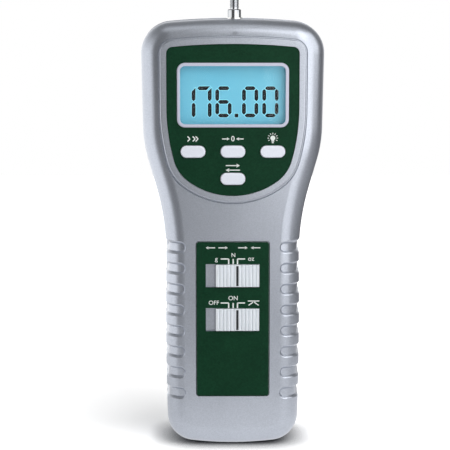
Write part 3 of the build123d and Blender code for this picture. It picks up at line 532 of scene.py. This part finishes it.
# %% [markdown]
# ## Display digits
#
# Each digit is made of up to seven bars. A bar starts as a flat plane, its corners are bevelled
# until both ends are points, and an inset gives it the thin pale rim that a driven segment shows.
# Where the figures 1 and 7 end in a sharp corner, one end is cut at a slant in place of the point.
# The reading is a plain number.

# %% Finishes of the digits
digit_ink = grained("segment_ink", dark=shade(14, 17, 18), light=shade(24, 28, 30), roughness=0.5,
                    relief=0.02, Specular_IOR_Level=0.1)
digit_rim = grained("segment_rim", dark=shade(124, 196, 214), light=shade(136, 204, 220),
                    roughness=0.5, relief=0.02, Specular_IOR_Level=0.1)
print("digit finishes ready")

# %% One bar of a digit
glass_low, glass_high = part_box("lcd_panel")
glass_front = glass_low.y
display_z = (glass_low.z + glass_high.z) / 2
digit_height = 15.1 * mm
digit_width = 7.95 * mm
digit_foot_z = display_z - 10.95 * mm
bar_stroke = 1.95 * mm
bar_lift = 0.03 * mm
rim_width = 0.2 * mm
# Bevels as shares of the stroke: of a pointed end, of a slanted one, and of the decimal point.
point_bevel = 0.54
slant_bevel = 1.04
square_bevel = 0.12


def make_bar(x, z, length, turn, slanted_end=0, end_bevel=point_bevel):
    """A bar that lies along X about its own middle, then turned and moved to its place. Its ends
    get the same bevel, but the inner corner of slanted_end (-1 or 1) is cut at a slant."""
    clear_selection()
    bpy.ops.mesh.primitive_plane_add(size=1, location=(0, 0, 0))
    bar = bpy.context.object
    bar.data.materials.append(digit_ink)
    bar.data.materials.append(digit_rim)
    bar.scale = (length + 2 * rim_width, bar_stroke + 2 * rim_width, 1)
    apply_scale()
    edit_all()
    if slanted_end:
        pick("VERT", lambda centre: centre.x * slanted_end > 0 and centre.y < 0)
        bpy.ops.mesh.bevel(offset=slant_bevel * bar_stroke, affect="VERTICES", segments=1)
        pick("VERT", lambda centre: centre.x * slanted_end < -length / 2)
    bpy.ops.mesh.bevel(offset=end_bevel * bar_stroke, affect="VERTICES", segments=1)
    bpy.ops.mesh.select_mode(type="FACE")
    edit_all()
    bpy.ops.mesh.inset(thickness=rim_width)
    inner = bmesh.from_edit_mesh(bar.data)
    for face in inner.faces:
        face.material_index = 0 if face.select else 1
    bmesh.update_edit_mesh(bar.data)
    bpy.ops.mesh.extrude_region_move(TRANSFORM_OT_translate={"value": (0, 0, bar_lift)})
    clear_selection()
    bar.rotation_euler = (pi / 2, turn, 0)
    bar.location = (x, glass_front - bar_lift, z)
    return bar


print("bars are", bar_stroke / mm, "mm wide")

# %% The digits
# Where each bar lies in a digit of unit width and height, and the turn of its outer side.
bar_places = {
    "top": (0.5, 1.0, 0), "middle": (0.5, 0.5, 0), "bottom": (0.5, 0.0, pi),
    "upper_left": (0.0, 0.75, -pi / 2), "lower_left": (0.0, 0.25, -pi / 2),
    "upper_right": (1.0, 0.75, pi / 2), "lower_right": (1.0, 0.25, pi / 2),
}
# How far a bar runs past its usual first and last end, in millimetres, and which end is slanted.
usual = (0.0, 0.0, 0)
slanted_head = (0.6, 0.0, -1)
slanted_top = (0.3, 0.6, 1)
free_top = (0.0, 0.3, 0)
long_foot = (0.0, 1.2, 0)
bars_of_digit = {
    "1": {"upper_right": slanted_head, "lower_right": long_foot},
    "7": {"top": slanted_top, "upper_right": slanted_head, "lower_right": long_foot},
    "6": {"top": free_top, "upper_left": usual, "middle": usual, "lower_left": usual,
          "lower_right": usual, "bottom": usual},
    "0": {name: usual for name in bar_places if name != "middle"},
}
bar_gap = 0.3 * mm
reading = [("1", -25.9), ("7", -18.13), ("6", -8.49), ("0", 4.42), ("0", 14.2)]
point_x = 1.78  # of the decimal point


def make_digit(digit, left_x):
    bars = []
    for bar_name, (first_extra, last_extra, slanted_end) in bars_of_digit[digit].items():
        across, up, turn = bar_places[bar_name]
        width, height = digit_width - bar_stroke, digit_height - bar_stroke
        upright = across in (0.0, 1.0)
        usual_length = (height / 2 if upright else width) - 2 * bar_gap
        shift = (last_extra - first_extra) / 2 * mm
        x = left_x * mm + bar_stroke / 2 + across * width + shift * cos(turn)
        z = digit_foot_z + bar_stroke / 2 + up * height - shift * sin(turn)
        length = usual_length + (first_extra + last_extra) * mm
        bars.append(make_bar(x, z, length, turn, slanted_end))
    return bars


def make_reading():
    bars = [bar for digit, left_x in reading for bar in make_digit(digit, left_x)]
    bars.append(make_bar(point_x * mm, digit_foot_z + bar_stroke / 2, bar_stroke, 0,
                         end_bevel=square_bevel))
    return settle(join(bars), "display_digits", digit_ink, "housing")


digits = make_reading()
print("digits:", len(digits.data.polygons), "faces")

# %% [markdown]
# ## Marks of the slide switches
#
# White ink on the green plate: three short ticks above each knob, the outer two with a lead to
# their name. The names are units and the plain words of a switch. Text is made a mesh at once and
# then stood up, so that its place ends in the mesh.

# %% Printed strokes and words
white_ink = grained("white_ink", dark=shade(226, 232, 228), light=shade(244, 248, 245),
                    roughness=0.5, relief=0.05, grain=0.2)
ink_lift = 0.03 * mm
ink_spread = 0.08 * mm
capital_share = 0.73  # the height of a capital as a share of the text size
capital_weight = 0.008
small_letter_weight = 0.004
plate_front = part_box("switch_faceplate")[0].y


def make_stroke(x_low, x_high, z_low, z_high, front, turn=0.0):
    """A printed bar, in millimetres, turned about its middle, with its corners cut as ink spreads."""
    clear_selection()
    bpy.ops.mesh.primitive_plane_add(size=1, location=(
        (x_low + x_high) / 2 * mm, front - ink_lift, (z_low + z_high) / 2 * mm))
    stroke = bpy.context.object
    stroke.scale = ((x_high - x_low) * mm, (z_high - z_low) * mm, 1)
    apply_scale()
    bpy.ops.object.mode_set(mode="EDIT")
    bpy.ops.mesh.bevel(offset=ink_spread, affect="VERTICES")
    return stand_ink(stroke, turn)


def stand_ink(mark, turn):
    """Gives a flat mark the thickness of ink, stands it up and turns it in the plane of the plate."""
    edit_all()
    bpy.ops.mesh.extrude_region_move(TRANSFORM_OT_translate={"value": (0, 0, -ink_lift)})
    edit_all()
    bpy.ops.mesh.normals_make_consistent(inside=False)
    clear_selection()
    mark.select_set(True)
    mark.rotation_euler = (pi / 2, turn, 0)
    return mark


def make_dot(x, z, radius, front, corners=24, turn=0.0):
    """A printed disc, or a triangle with three corners whose point faces up before the turn."""
    clear_selection()
    bpy.ops.mesh.primitive_circle_add(vertices=corners, radius=radius * mm, fill_type="NGON",
                                      location=(x * mm, front - ink_lift, z * mm))
    return stand_ink(bpy.context.object, turn)


def make_arrow(x_tail, x_tip, z, front, half_stroke=0.24, head=0.85):
    """A printed arrow that lies along X."""
    way = 1 if x_tip > x_tail else -1
    low, high = sorted((x_tail, x_tip - way * head))
    return [make_stroke(low, high, z - half_stroke, z + half_stroke, front),
            make_dot(x_tip - way * head, z, head, front, corners=3, turn=way * pi / 2)]


def make_word(words, x, z, height, front, weight=capital_weight):
    """Letters centred on a point, in millimetres, standing on the surface behind them."""
    clear_selection()
    bpy.ops.object.text_add(rotation=(pi / 2, 0, 0), location=(x * mm, front - ink_lift, z * mm))
    text = bpy.context.object
    text.data.body = words
    text.data.align_x = "CENTER"
    text.data.align_y = "CENTER"
    text.data.size = height * mm / capital_share
    text.data.offset = weight * text.data.size
    text.data.extrude = ink_lift
    bpy.ops.object.convert(target="MESH")
    return bpy.context.object


print("ink helpers ready")

# %% Ticks, leads and names of both switches
tick_places = (-2.0, 0.2, 2.3)
tick_half_width = 0.33
lead_half_height = 0.31
lead_ends = (-5.9, 6.0)
# For each switch the foot and the top of its ticks, and its names with place and height.
switch_marks = {
    "units": (91.2, 93.9, [("g", -8.0, 93.9, 2.3), ("N", 0.3, 95.7, 2.05), ("oz", 8.9, 94.0, 2.3)]),
    "power": (69.5, 72.1, [("OFF", -9.25, 72.1, 2.15), ("ON", 0.2, 74.4, 2.2)]),
}


def make_switch_marks(tick_foot, tick_top, names):
    marks = [make_stroke(x - tick_half_width, x + tick_half_width, tick_foot, tick_top, plate_front)
             for x in tick_places]
    for tick_x, end_x in zip((tick_places[0], tick_places[2]), lead_ends):
        low, high = sorted((tick_x, end_x))
        marks.append(make_stroke(low, high, tick_top - lead_half_height, tick_top + lead_half_height,
                                 plate_front))
    for words, x, z, height in names:
        weight = small_letter_weight if words.islower() else capital_weight
        marks.append(make_word(words, x, z, height, plate_front, weight))
    return marks


load_arrow_z = 99.4
load_arrows = ((-8.6, -13.2), (-7.0, -2.4), (2.6, 7.2), (13.4, 8.8))


def make_load_signs():
    """Above the units switch: two arrows apart for a pull, and two arrows together for a push."""
    return [mark for x_tail, x_tip in load_arrows
            for mark in make_arrow(x_tail, x_tip, load_arrow_z, plate_front)]


def make_peak_sign(x=10.2, z=71.9, half_width=2.7, slope=0.62, line_half_width=2.835, half_stroke=0.26):
    """Beside the power switch: a peak under a level line, for the held highest reading."""
    peak_low, peak_high = z - half_stroke - 0.2, z + half_stroke - 0.2
    line_foot = z + 0.9
    return [make_stroke(x - half_width, x, peak_low, peak_high, plate_front, -slope),
            make_stroke(x, x + half_width, peak_low, peak_high, plate_front, slope),
            make_stroke(x - line_half_width, x + line_half_width, line_foot,
                        line_foot + 2 * half_stroke, plate_front)]


signs = {"units": make_load_signs, "power": make_peak_sign}
for switch, (tick_foot, tick_top, names) in switch_marks.items():
    parts = make_switch_marks(tick_foot, tick_top, names) + signs[switch]()
    marks = settle(join(parts), switch + "_switch_marks", white_ink, "housing")
    print(marks.name, len(marks.data.polygons), "faces")

# %% [markdown]
# ## Key symbols
#
# Every key has a symbol above it on the display plate: chevrons for the speed of the reading, a
# figure 0 between two arrows for zero, a lit lamp for the light behind the display, and two
# opposite arrows for the display that turns over. All share the same strokes, discs and arrows.

# %% Key symbols
shield_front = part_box("display_faceplate")[0].y
symbol_z = 152.5
lamp_symbol_z = 152.9
turn_symbol_z = 138.5


def key_x(key):
    """The middle of a key along X, in millimetres."""
    low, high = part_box(key)
    return (low.x + high.x) / 2 / mm


def make_chevron(x, z, arm=1.7, half_stroke=0.27):
    """Two strokes that meet in a point on the right."""
    reach = arm / 2 * cos(pi / 4)
    return [make_stroke(x - reach - arm / 2, x - reach + arm / 2, z + side * reach - half_stroke,
                        z + side * reach + half_stroke, shield_front, turn=side * pi / 4)
            for side in (1, -1)]


def make_speed_symbol(offsets=(-1.4, 1.1, 2.5)):
    x = key_x("speed_button")
    return [stroke for offset in offsets for stroke in make_chevron(x + offset, symbol_z)]


def make_zero_symbol(tail=5.2, tip=1.6, figure_height=2.6):
    x = key_x("zero_button")
    return (make_arrow(x - tail, x - tip, symbol_z, shield_front)
            + [make_word("0", x, symbol_z, figure_height, shield_front)]
            + make_arrow(x + tail, x + tip, symbol_z, shield_front))


def make_bulb_and_cap(x, bulb_radius=1.2, rib_half_widths=(0.7, 0.62, 0.5), first_drop=1.25,
                      rib_pitch=0.5, half_stroke=0.18):
    marks = [make_dot(x, lamp_symbol_z, bulb_radius, shield_front)]
    for row, half_width in enumerate(rib_half_widths):
        z = lamp_symbol_z - first_drop - rib_pitch * row
        marks.append(make_stroke(x - half_width, x + half_width, z - half_stroke, z + half_stroke,
                                 shield_front))
    return marks


def make_rays(x, rays=9, inner=1.75, outer=2.6, first_angle=-30, spread=240, half_stroke=0.16):
    marks = []
    middle, half_length = (inner + outer) / 2, (outer - inner) / 2
    for ray in range(rays):
        angle = radians(first_angle + spread * ray / (rays - 1))
        ray_x, ray_z = x + middle * cos(angle), lamp_symbol_z + middle * sin(angle)
        marks.append(make_stroke(ray_x - half_length, ray_x + half_length, ray_z - half_stroke,
                                 ray_z + half_stroke, shield_front, turn=-angle))
    return marks


def make_lamp_symbol():
    """A bulb over its ribbed cap, with rays round its upper part."""
    x = key_x("backlight_button")
    return make_bulb_and_cap(x) + make_rays(x)


def make_turn_symbol(half_length=3.4, half_gap=1.1, head=1.05):
    x = key_x("reverse_button")
    return [mark for way in (1, -1) for mark in make_arrow(
        x - way * half_length, x + way * half_length, turn_symbol_z + way * half_gap, shield_front,
        head=head)]


symbols = {"speed": make_speed_symbol, "zero": make_zero_symbol, "backlight": make_lamp_symbol,
           "reverse": make_turn_symbol}
for key, make_symbol in symbols.items():
    symbol = settle(join(make_symbol()), key + "_key_symbol", white_ink, "housing")
    print(symbol.name, len(symbol.data.polygons), "faces")

# %% [markdown]
# ## Threads
#
# The shank of the hook and the bores of the stand inserts are threaded. A thread is one tooth
# profile that the Screw modifier turns round an axis while it rises by one pitch per turn. The
# smooth solids stay below it, so only the crests of the tooth are new. A ridge that points inwards
# gives the thread of a bore.

# %% The tooth and its screw
thread_pitch = 0.7 * mm
thread_sink = 0.05 * mm  # how far the tooth's root lies inside the solid
thread_rise = 0.24 * mm
tooth_foot_share = 0.86  # of the pitch
thread_steps = 24


def make_thread(root_radius, crest_radius, turns):
    """A helical ridge that rises along Z from the origin, with its ends capped."""
    tooth_foot = tooth_foot_share * thread_pitch
    clear_selection()
    bpy.ops.mesh.primitive_circle_add(vertices=3, radius=1, fill_type="NGON", location=(0, 0, 0))
    ridge = bpy.context.object
    ridge.rotation_euler = (pi / 2, 0, 0)
    bpy.ops.object.transform_apply(rotation=True)
    corners = ((root_radius, 0.0), (root_radius, tooth_foot), (crest_radius, tooth_foot / 2))
    for vertex, (radius, z) in zip(ridge.data.vertices, corners):
        vertex.co = (radius, 0.0, z)
    edit_all()
    bpy.ops.mesh.delete(type="ONLY_FACE")
    clear_selection()
    ridge.select_set(True)
    turning = ridge.modifiers.new("turning", "SCREW")
    turning.screw_offset = thread_pitch
    turning.iterations = turns
    turning.steps = turning.render_steps = thread_steps
    bpy.ops.object.modifier_apply(modifier="turning")
    edit_all()
    bpy.ops.mesh.remove_doubles(threshold=0.001 * mm)
    bpy.ops.mesh.fill_holes(sides=3)
    edit_all()
    bpy.ops.mesh.normals_make_consistent(inside=False)
    clear_selection()
    return ridge


print("thread pitch:", thread_pitch / mm, "mm")

# %% Thread of the hook
hook_shank_radius = 2.0 * mm
hook_axis = Vector((1.0, 2.0, 0)) * mm
hook_thread_start = 0.4 * mm  # above the spindle
hook_thread_turns = 9
hook_thread = make_thread(hook_shank_radius - thread_sink, hook_shank_radius + thread_rise,
                          hook_thread_turns)
hook_thread.location = (hook_axis.x, hook_axis.y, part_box("spindle")[1].z + hook_thread_start)
settle(hook_thread, "hook_thread", finishes["chrome_plate"], "tension_hook")
print("hook thread:", len(hook_thread.data.polygons), "faces")

# %% Threads of the stand inserts
insert_x = 22.0
insert_rows = (142.0, 186.0)
insert_bore_radius = 1.65 * mm
insert_thread_y = 14.0
insert_thread_turns = 11


def copy_to(piece, location):
    """A copy of a piece, with its own mesh, at another place."""
    clear_selection()
    piece.select_set(True)
    bpy.context.view_layer.objects.active = piece
    bpy.ops.object.duplicate()
    twin = bpy.context.object
    twin.location = location
    return twin


def make_insert_threads():
    first = make_thread(insert_bore_radius + thread_sink, insert_bore_radius - thread_rise,
                        insert_thread_turns)
    first.rotation_euler = (-pi / 2, 0, 0)
    places = [Vector((x, insert_thread_y, z)) * mm for x in (-insert_x, insert_x) for z in insert_rows]
    first.location = places[0]
    threads = [first] + [copy_to(first, place) for place in places[1:]]
    return settle(join(threads), "stand_insert_threads", finishes["brass_insert"], "housing")


insert_threads = make_insert_threads()
print("insert threads:", len(insert_threads.data.polygons), "faces")

# %% [markdown]
# ## Screw recesses
#
# The heads of the case screws and the door screws show at the back, each with a cross recess. The
# recess is cut with the Boolean modifier from a copy of the screws: two crossed blades that taper
# towards their tip, as the driver does. The copy then stands for the plain screws of the frame.

# %% The driver and its cut
blade_turns = (0.4, 0.4 + pi / 2)
blade_tip_length = 0.2  # a share of the length at the blade's wide end
blade_tip_width = 0.5
merge_reach = 0.0005 * mm
smooth_angle = radians(30)


def make_blade(turn, half_length=1.45, half_width=0.32, depth=1.15):
    """One blade of a driver, with its tip towards -Y, centred on the head's surface."""
    clear_selection()
    bpy.ops.mesh.primitive_cube_add(size=2, location=(0, 0, 0))
    blade = bpy.context.object
    blade.scale = (half_length * mm, half_width * mm, depth * mm)
    apply_scale()
    bpy.ops.object.mode_set(mode="EDIT")
    pick("VERT", lambda centre: centre.z < 0)
    bpy.ops.transform.resize(value=(blade_tip_length, blade_tip_width, 1))
    clear_selection()
    blade.rotation_euler = (-pi / 2, turn, 0)
    return blade


def make_driver(places, head_y):
    """Two crossed blades at the head of each screw."""
    blades = []
    for x, z in places:
        for turn in blade_turns:
            blade = make_blade(turn)
            blade.location = (x * mm, head_y, z * mm)
            blades.append(blade)
    return join(blades)


def cut_recesses(node_name, places, body):
    screws = bpy.data.objects.new(node_name + "_with_recess", nodes[node_name].data.copy())
    bpy.context.scene.collection.objects.link(screws)
    cutter = make_driver(places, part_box(node_name)[1].y)
    clear_selection()
    screws.select_set(True)
    bpy.context.view_layer.objects.active = screws
    bpy.ops.mesh.customdata_custom_splitnormals_clear()
    edit_all()
    bpy.ops.mesh.remove_doubles(threshold=merge_reach)
    bpy.ops.object.mode_set(mode="OBJECT")
    cut = screws.modifiers.new("recess", "BOOLEAN")
    cut.operation = "DIFFERENCE"
    cut.object = cutter
    cut.use_self = True
    bpy.ops.object.modifier_apply(modifier="recess")
    bpy.ops.object.shade_smooth_by_angle(angle=smooth_angle)
    bpy.data.objects.remove(cutter)
    settle(screws, node_name + "_with_recess", finishes["screw_steel"], body)
    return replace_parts(screws, node_name)


print("driver blades:", len(blade_turns))

# %% Cross recesses of both sets of screws
case_screw_places = [(-38.2, 196.0), (38.2, 196.0), (-27.6, 18.0), (27.6, 18.0)]
door_screw_places = [(0.0, 11.9), (0.0, 127.1)]
for node_name, places, body in (("case_screws", case_screw_places, "housing"),
                                ("door_screws", door_screw_places, "battery_door")):
    screws = cut_recesses(node_name, places, body)
    print(screws.name, len(screws.data.polygons), "faces")

# %% [markdown]
# ## Slide switch index lines
#
# Each knob has a black line across its middle, which points at a tick. The line is a filled
# groove: a slim bar with bevelled edges, barely proud of the knob that it rides on.

# %% Index lines
index_black = grained("index_black", dark=shade(14, 17, 22), light=shade(26, 30, 36), roughness=0.5,
                      relief=0.1)
index_width = 1.15 * mm
index_margin = 0.5 * mm
index_lift = 0.04 * mm
index_corner = 0.2 * mm
corner_share = 0.4  # an edge beyond this share of the width on both axes is a corner


def make_index_line(knob):
    low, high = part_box(knob)
    clear_selection()
    bpy.ops.mesh.primitive_cube_add(size=1, location=(
        (low.x + high.x) / 2, low.y + index_lift, (low.z + high.z) / 2))
    line = bpy.context.object
    line.scale = (index_width, 4 * index_lift, high.z - low.z - 2 * index_margin)
    apply_scale()
    bpy.ops.object.mode_set(mode="EDIT")
    pick("EDGE", lambda centre: min(abs(centre.x), abs(centre.z)) > corner_share * index_width)
    bpy.ops.mesh.bevel(offset=index_corner, segments=3)
    return settle(line, knob + "_index_line", index_black, knob)


for knob in ("units_slider", "power_slider"):
    line = make_index_line(knob)
    print(line.name, len(line.data.polygons), "faces")

# %% [markdown]
# ## Studio
#
# The gauge stands on a plain white floor in a room that only its reflections see: a bright wall on
# the left, a bright rear wall that stays low, and dimness elsewhere. The left wall and the dimness
# beside it give satin paint its bands of light and shade. Light Path tells the rays apart: for the
# camera and through glass both floor and world are white, and for all other rays the world is the
# room. In reflections the floor is a painted pool of light round the foot that fades out, and on
# the left it takes the wall's light as painted light. For the camera the floor darkens where the
# gauge keeps the lamps off it, and a painted shadow darkens it more close to the foot, where
# Ambient Occlusion finds less open sky. Its own glow for the camera is painted light as well, weak
# near the foot and strong further out.

# %% Masks of the room
left_wall_level = 1.42
left_wall_edge = (-44.0, -58.0)  # degrees round the object, where the wall starts and is full


def turn_of(tree, way):
    """How far a direction from the object is turned to the right of straight ahead, in radians."""
    parts = add_node(tree, "SeparateXYZ", None, Vector=way).outputs
    return combine(tree, "ARCTAN2", parts["X"], combine(tree, "MULTIPLY", parts["Y"], -1))


def left_wall_share(tree, way):
    """A mask that is 1 where a direction from the object points at the left wall."""
    return stretch(tree, turn_of(tree, way), 0.0, 1.0, *(radians(edge) for edge in left_wall_edge))


def seen_mask(tree, path):
    """A mask that is 1 for what the camera sees, straight or through glass."""
    return combine(tree, "MAXIMUM", path.outputs["Is Camera Ray"], path.outputs["Is Transmission Ray"])


print("left wall from", left_wall_edge[0], "to", left_wall_edge[1], "degrees")

# %% Floor
floor_size = 2.4
floor_white = (1.5, 1.5, 1.5, 1)
floor_bounce = shade(150, 150, 152)  # what the floor sends up to the object
# Painted light on the floor: a pool round the foot for glossy rays, and for the camera a glow that is weak
# near the foot and strong far out.
pool_level = (0.9, 0.05)  # at the near and the far end of its reach, which is in metres
pool_reach = (0.06, 0.35)
wall_on_floor_reach = 0.3
far_glow_level = (0.13, 0.9)
far_glow_reach = (0.06, 0.34)
# A painted contact shadow: within this reach Ambient Occlusion darkens the floor for the camera, raised to
# this power.
painted_contact_shadow_reach = 14 * mm
painted_contact_shadow_depth = 1.4


def make_floor_glow(tree, path, seen, lit):
    """The floor's own painted light: for the camera a glow, weak near the foot and strong far from it, and
    for glossy rays the room, a pool round the foot and the wall's light.
    """
    place = add_node(tree, "TexCoord").outputs["Object"]
    length = add_node(tree, "VectorMath", {"operation": "LENGTH"})
    feed(tree, length.inputs[0], place)
    reach = length.outputs["Value"]
    # Painted light and shade: the glow is weak near the foot and full far from it.
    far = stretch(tree, reach, *far_glow_level, *far_glow_reach)
    pool = stretch(tree, reach, *pool_level, *pool_reach)
    wall = combine(tree, "MULTIPLY", left_wall_share(tree, place),
                   stretch(tree, reach, 0.0, left_wall_level, 0.0, wall_on_floor_reach))
    mirrored = combine(tree, "MULTIPLY", combine(tree, "MAXIMUM", pool, wall),
                       path.outputs["Is Glossy Ray"])
    level = mix_values(tree, seen, mirrored, combine(tree, "MULTIPLY", far, lit))
    return add_node(tree, "Emission", None, Color=(1, 1, 1, 1), Strength=level)


def make_floor():
    """A matte floor that is white to the camera, with a painted contact shadow near the foot and its own
    glow added.
    """
    clear_selection()
    bpy.ops.mesh.primitive_plane_add(size=floor_size, location=(0, 0, 0))
    floor = bpy.context.object
    bpy.ops.object.mode_set(mode="EDIT")
    bpy.ops.mesh.subdivide(number_cuts=3)
    clear_selection()
    floor.name = floor.data.name = "studio_floor"
    material = bpy.data.materials.new("studio_floor")
    material.use_nodes = True
    tree = material.node_tree
    tree.nodes.clear()
    path = add_node(tree, "LightPath")
    seen = seen_mask(tree, path)
    # Painted contact shadow: the camera's white and glow are darkened by Ambient Occlusion near the foot.
    open_sky = add_node(tree, "AmbientOcclusion", {"samples": 8}, Distance=painted_contact_shadow_reach)
    lit = combine(tree, "POWER", open_sky.outputs["AO"], painted_contact_shadow_depth)
    white = mix_colours(tree, lit, (0.0, 0.0, 0.0, 1), floor_white)
    matte = add_node(tree, "BsdfDiffuse", None, Color=mix_colours(tree, seen, floor_bounce, white))
    both = add_node(tree, "AddShader")
    feed(tree, both.inputs[0], matte.outputs[0])
    feed(tree, both.inputs[1], make_floor_glow(tree, path, seen, lit).outputs[0])
    add_node(tree, "OutputMaterial", None, Surface=both.outputs[0])
    floor.data.materials.append(material)
    return floor


floor = make_floor()
print("floor:", floor.name)

# %% World
room_level = 0.14
rear_wall_level = 1.0
rear_wall_edge = (125.0, 165.0)
wall_top = (0.1, 0.75)  # the height of a direction where the walls start to fade and have faded
wall_top_level = 0.1


def make_world():
    """A dim room with a bright wall on the left, and a bright rear wall that stays low."""
    world = bpy.data.worlds.new("studio")
    bpy.context.scene.world = world
    world.use_nodes = True
    tree = world.node_tree
    tree.nodes.clear()
    path = add_node(tree, "LightPath")
    way = add_node(tree, "TexCoord").outputs["Generated"]
    height = add_node(tree, "SeparateXYZ", None, Vector=way).outputs["Z"]
    left = combine(tree, "MULTIPLY", left_wall_share(tree, way), left_wall_level)
    rear = stretch(tree, turn_of(tree, way), 0.0, rear_wall_level,
                   *(radians(edge) for edge in rear_wall_edge))
    low = stretch(tree, height, 1.0, wall_top_level, *wall_top)
    walls = combine(tree, "MULTIPLY", combine(tree, "ADD", left, rear), low)
    level = mix_values(tree, seen_mask(tree, path), combine(tree, "ADD", walls, room_level), 1.0)
    background = add_node(tree, "Background", None, Color=(1, 1, 1, 1), Strength=level)
    add_node(tree, "OutputWorld", None, Surface=background.outputs[0])


make_world()
print("world:", bpy.context.scene.world.name)

# %% [markdown]
# ## Softboxes
#
# A softbox is an area lamp aimed at the housing. Its size and place decide where its reflection
# lies on the satin paint, so the softboxes are large and of a low level. The energy follows from
# the area, so that a lamp keeps its level when its size changes.

# %% Softboxes
def softbox(name, place, aim, size, radiance):
    """An area lamp at a place in millimetres, aimed at a point, as bright as its radiance."""
    data = bpy.data.lights.new(name, "AREA")
    data.shape = "RECTANGLE"
    data.size, data.size_y = size[0] * mm, size[1] * mm
    data.energy = radiance * pi * data.size * data.size_y
    lamp = bpy.data.objects.new(name, data)
    bpy.context.scene.collection.objects.link(lamp)
    lamp.location = Vector(place) * mm
    lamp.rotation_euler = (Vector(aim) * mm - lamp.location).to_track_quat("-Z", "Y").to_euler()
    return lamp


lamps = [
    softbox("right_softbox", (228, -415, 200), (-15, -20, 110), (470, 380), 2.2),
    softbox("upper_right_softbox", (225, -390, 620), (0, -20, 150), (370, 400), 2.8),
    softbox("side_softbox", (470, -150, 400), (0, -20, 150), (300, 600), 1.8),
    softbox("top_softbox", (0, -150, 900), (0, 0, 100), (600, 300), 0.8),
]
print("lamps:", ", ".join(lamp.name for lamp in lamps))
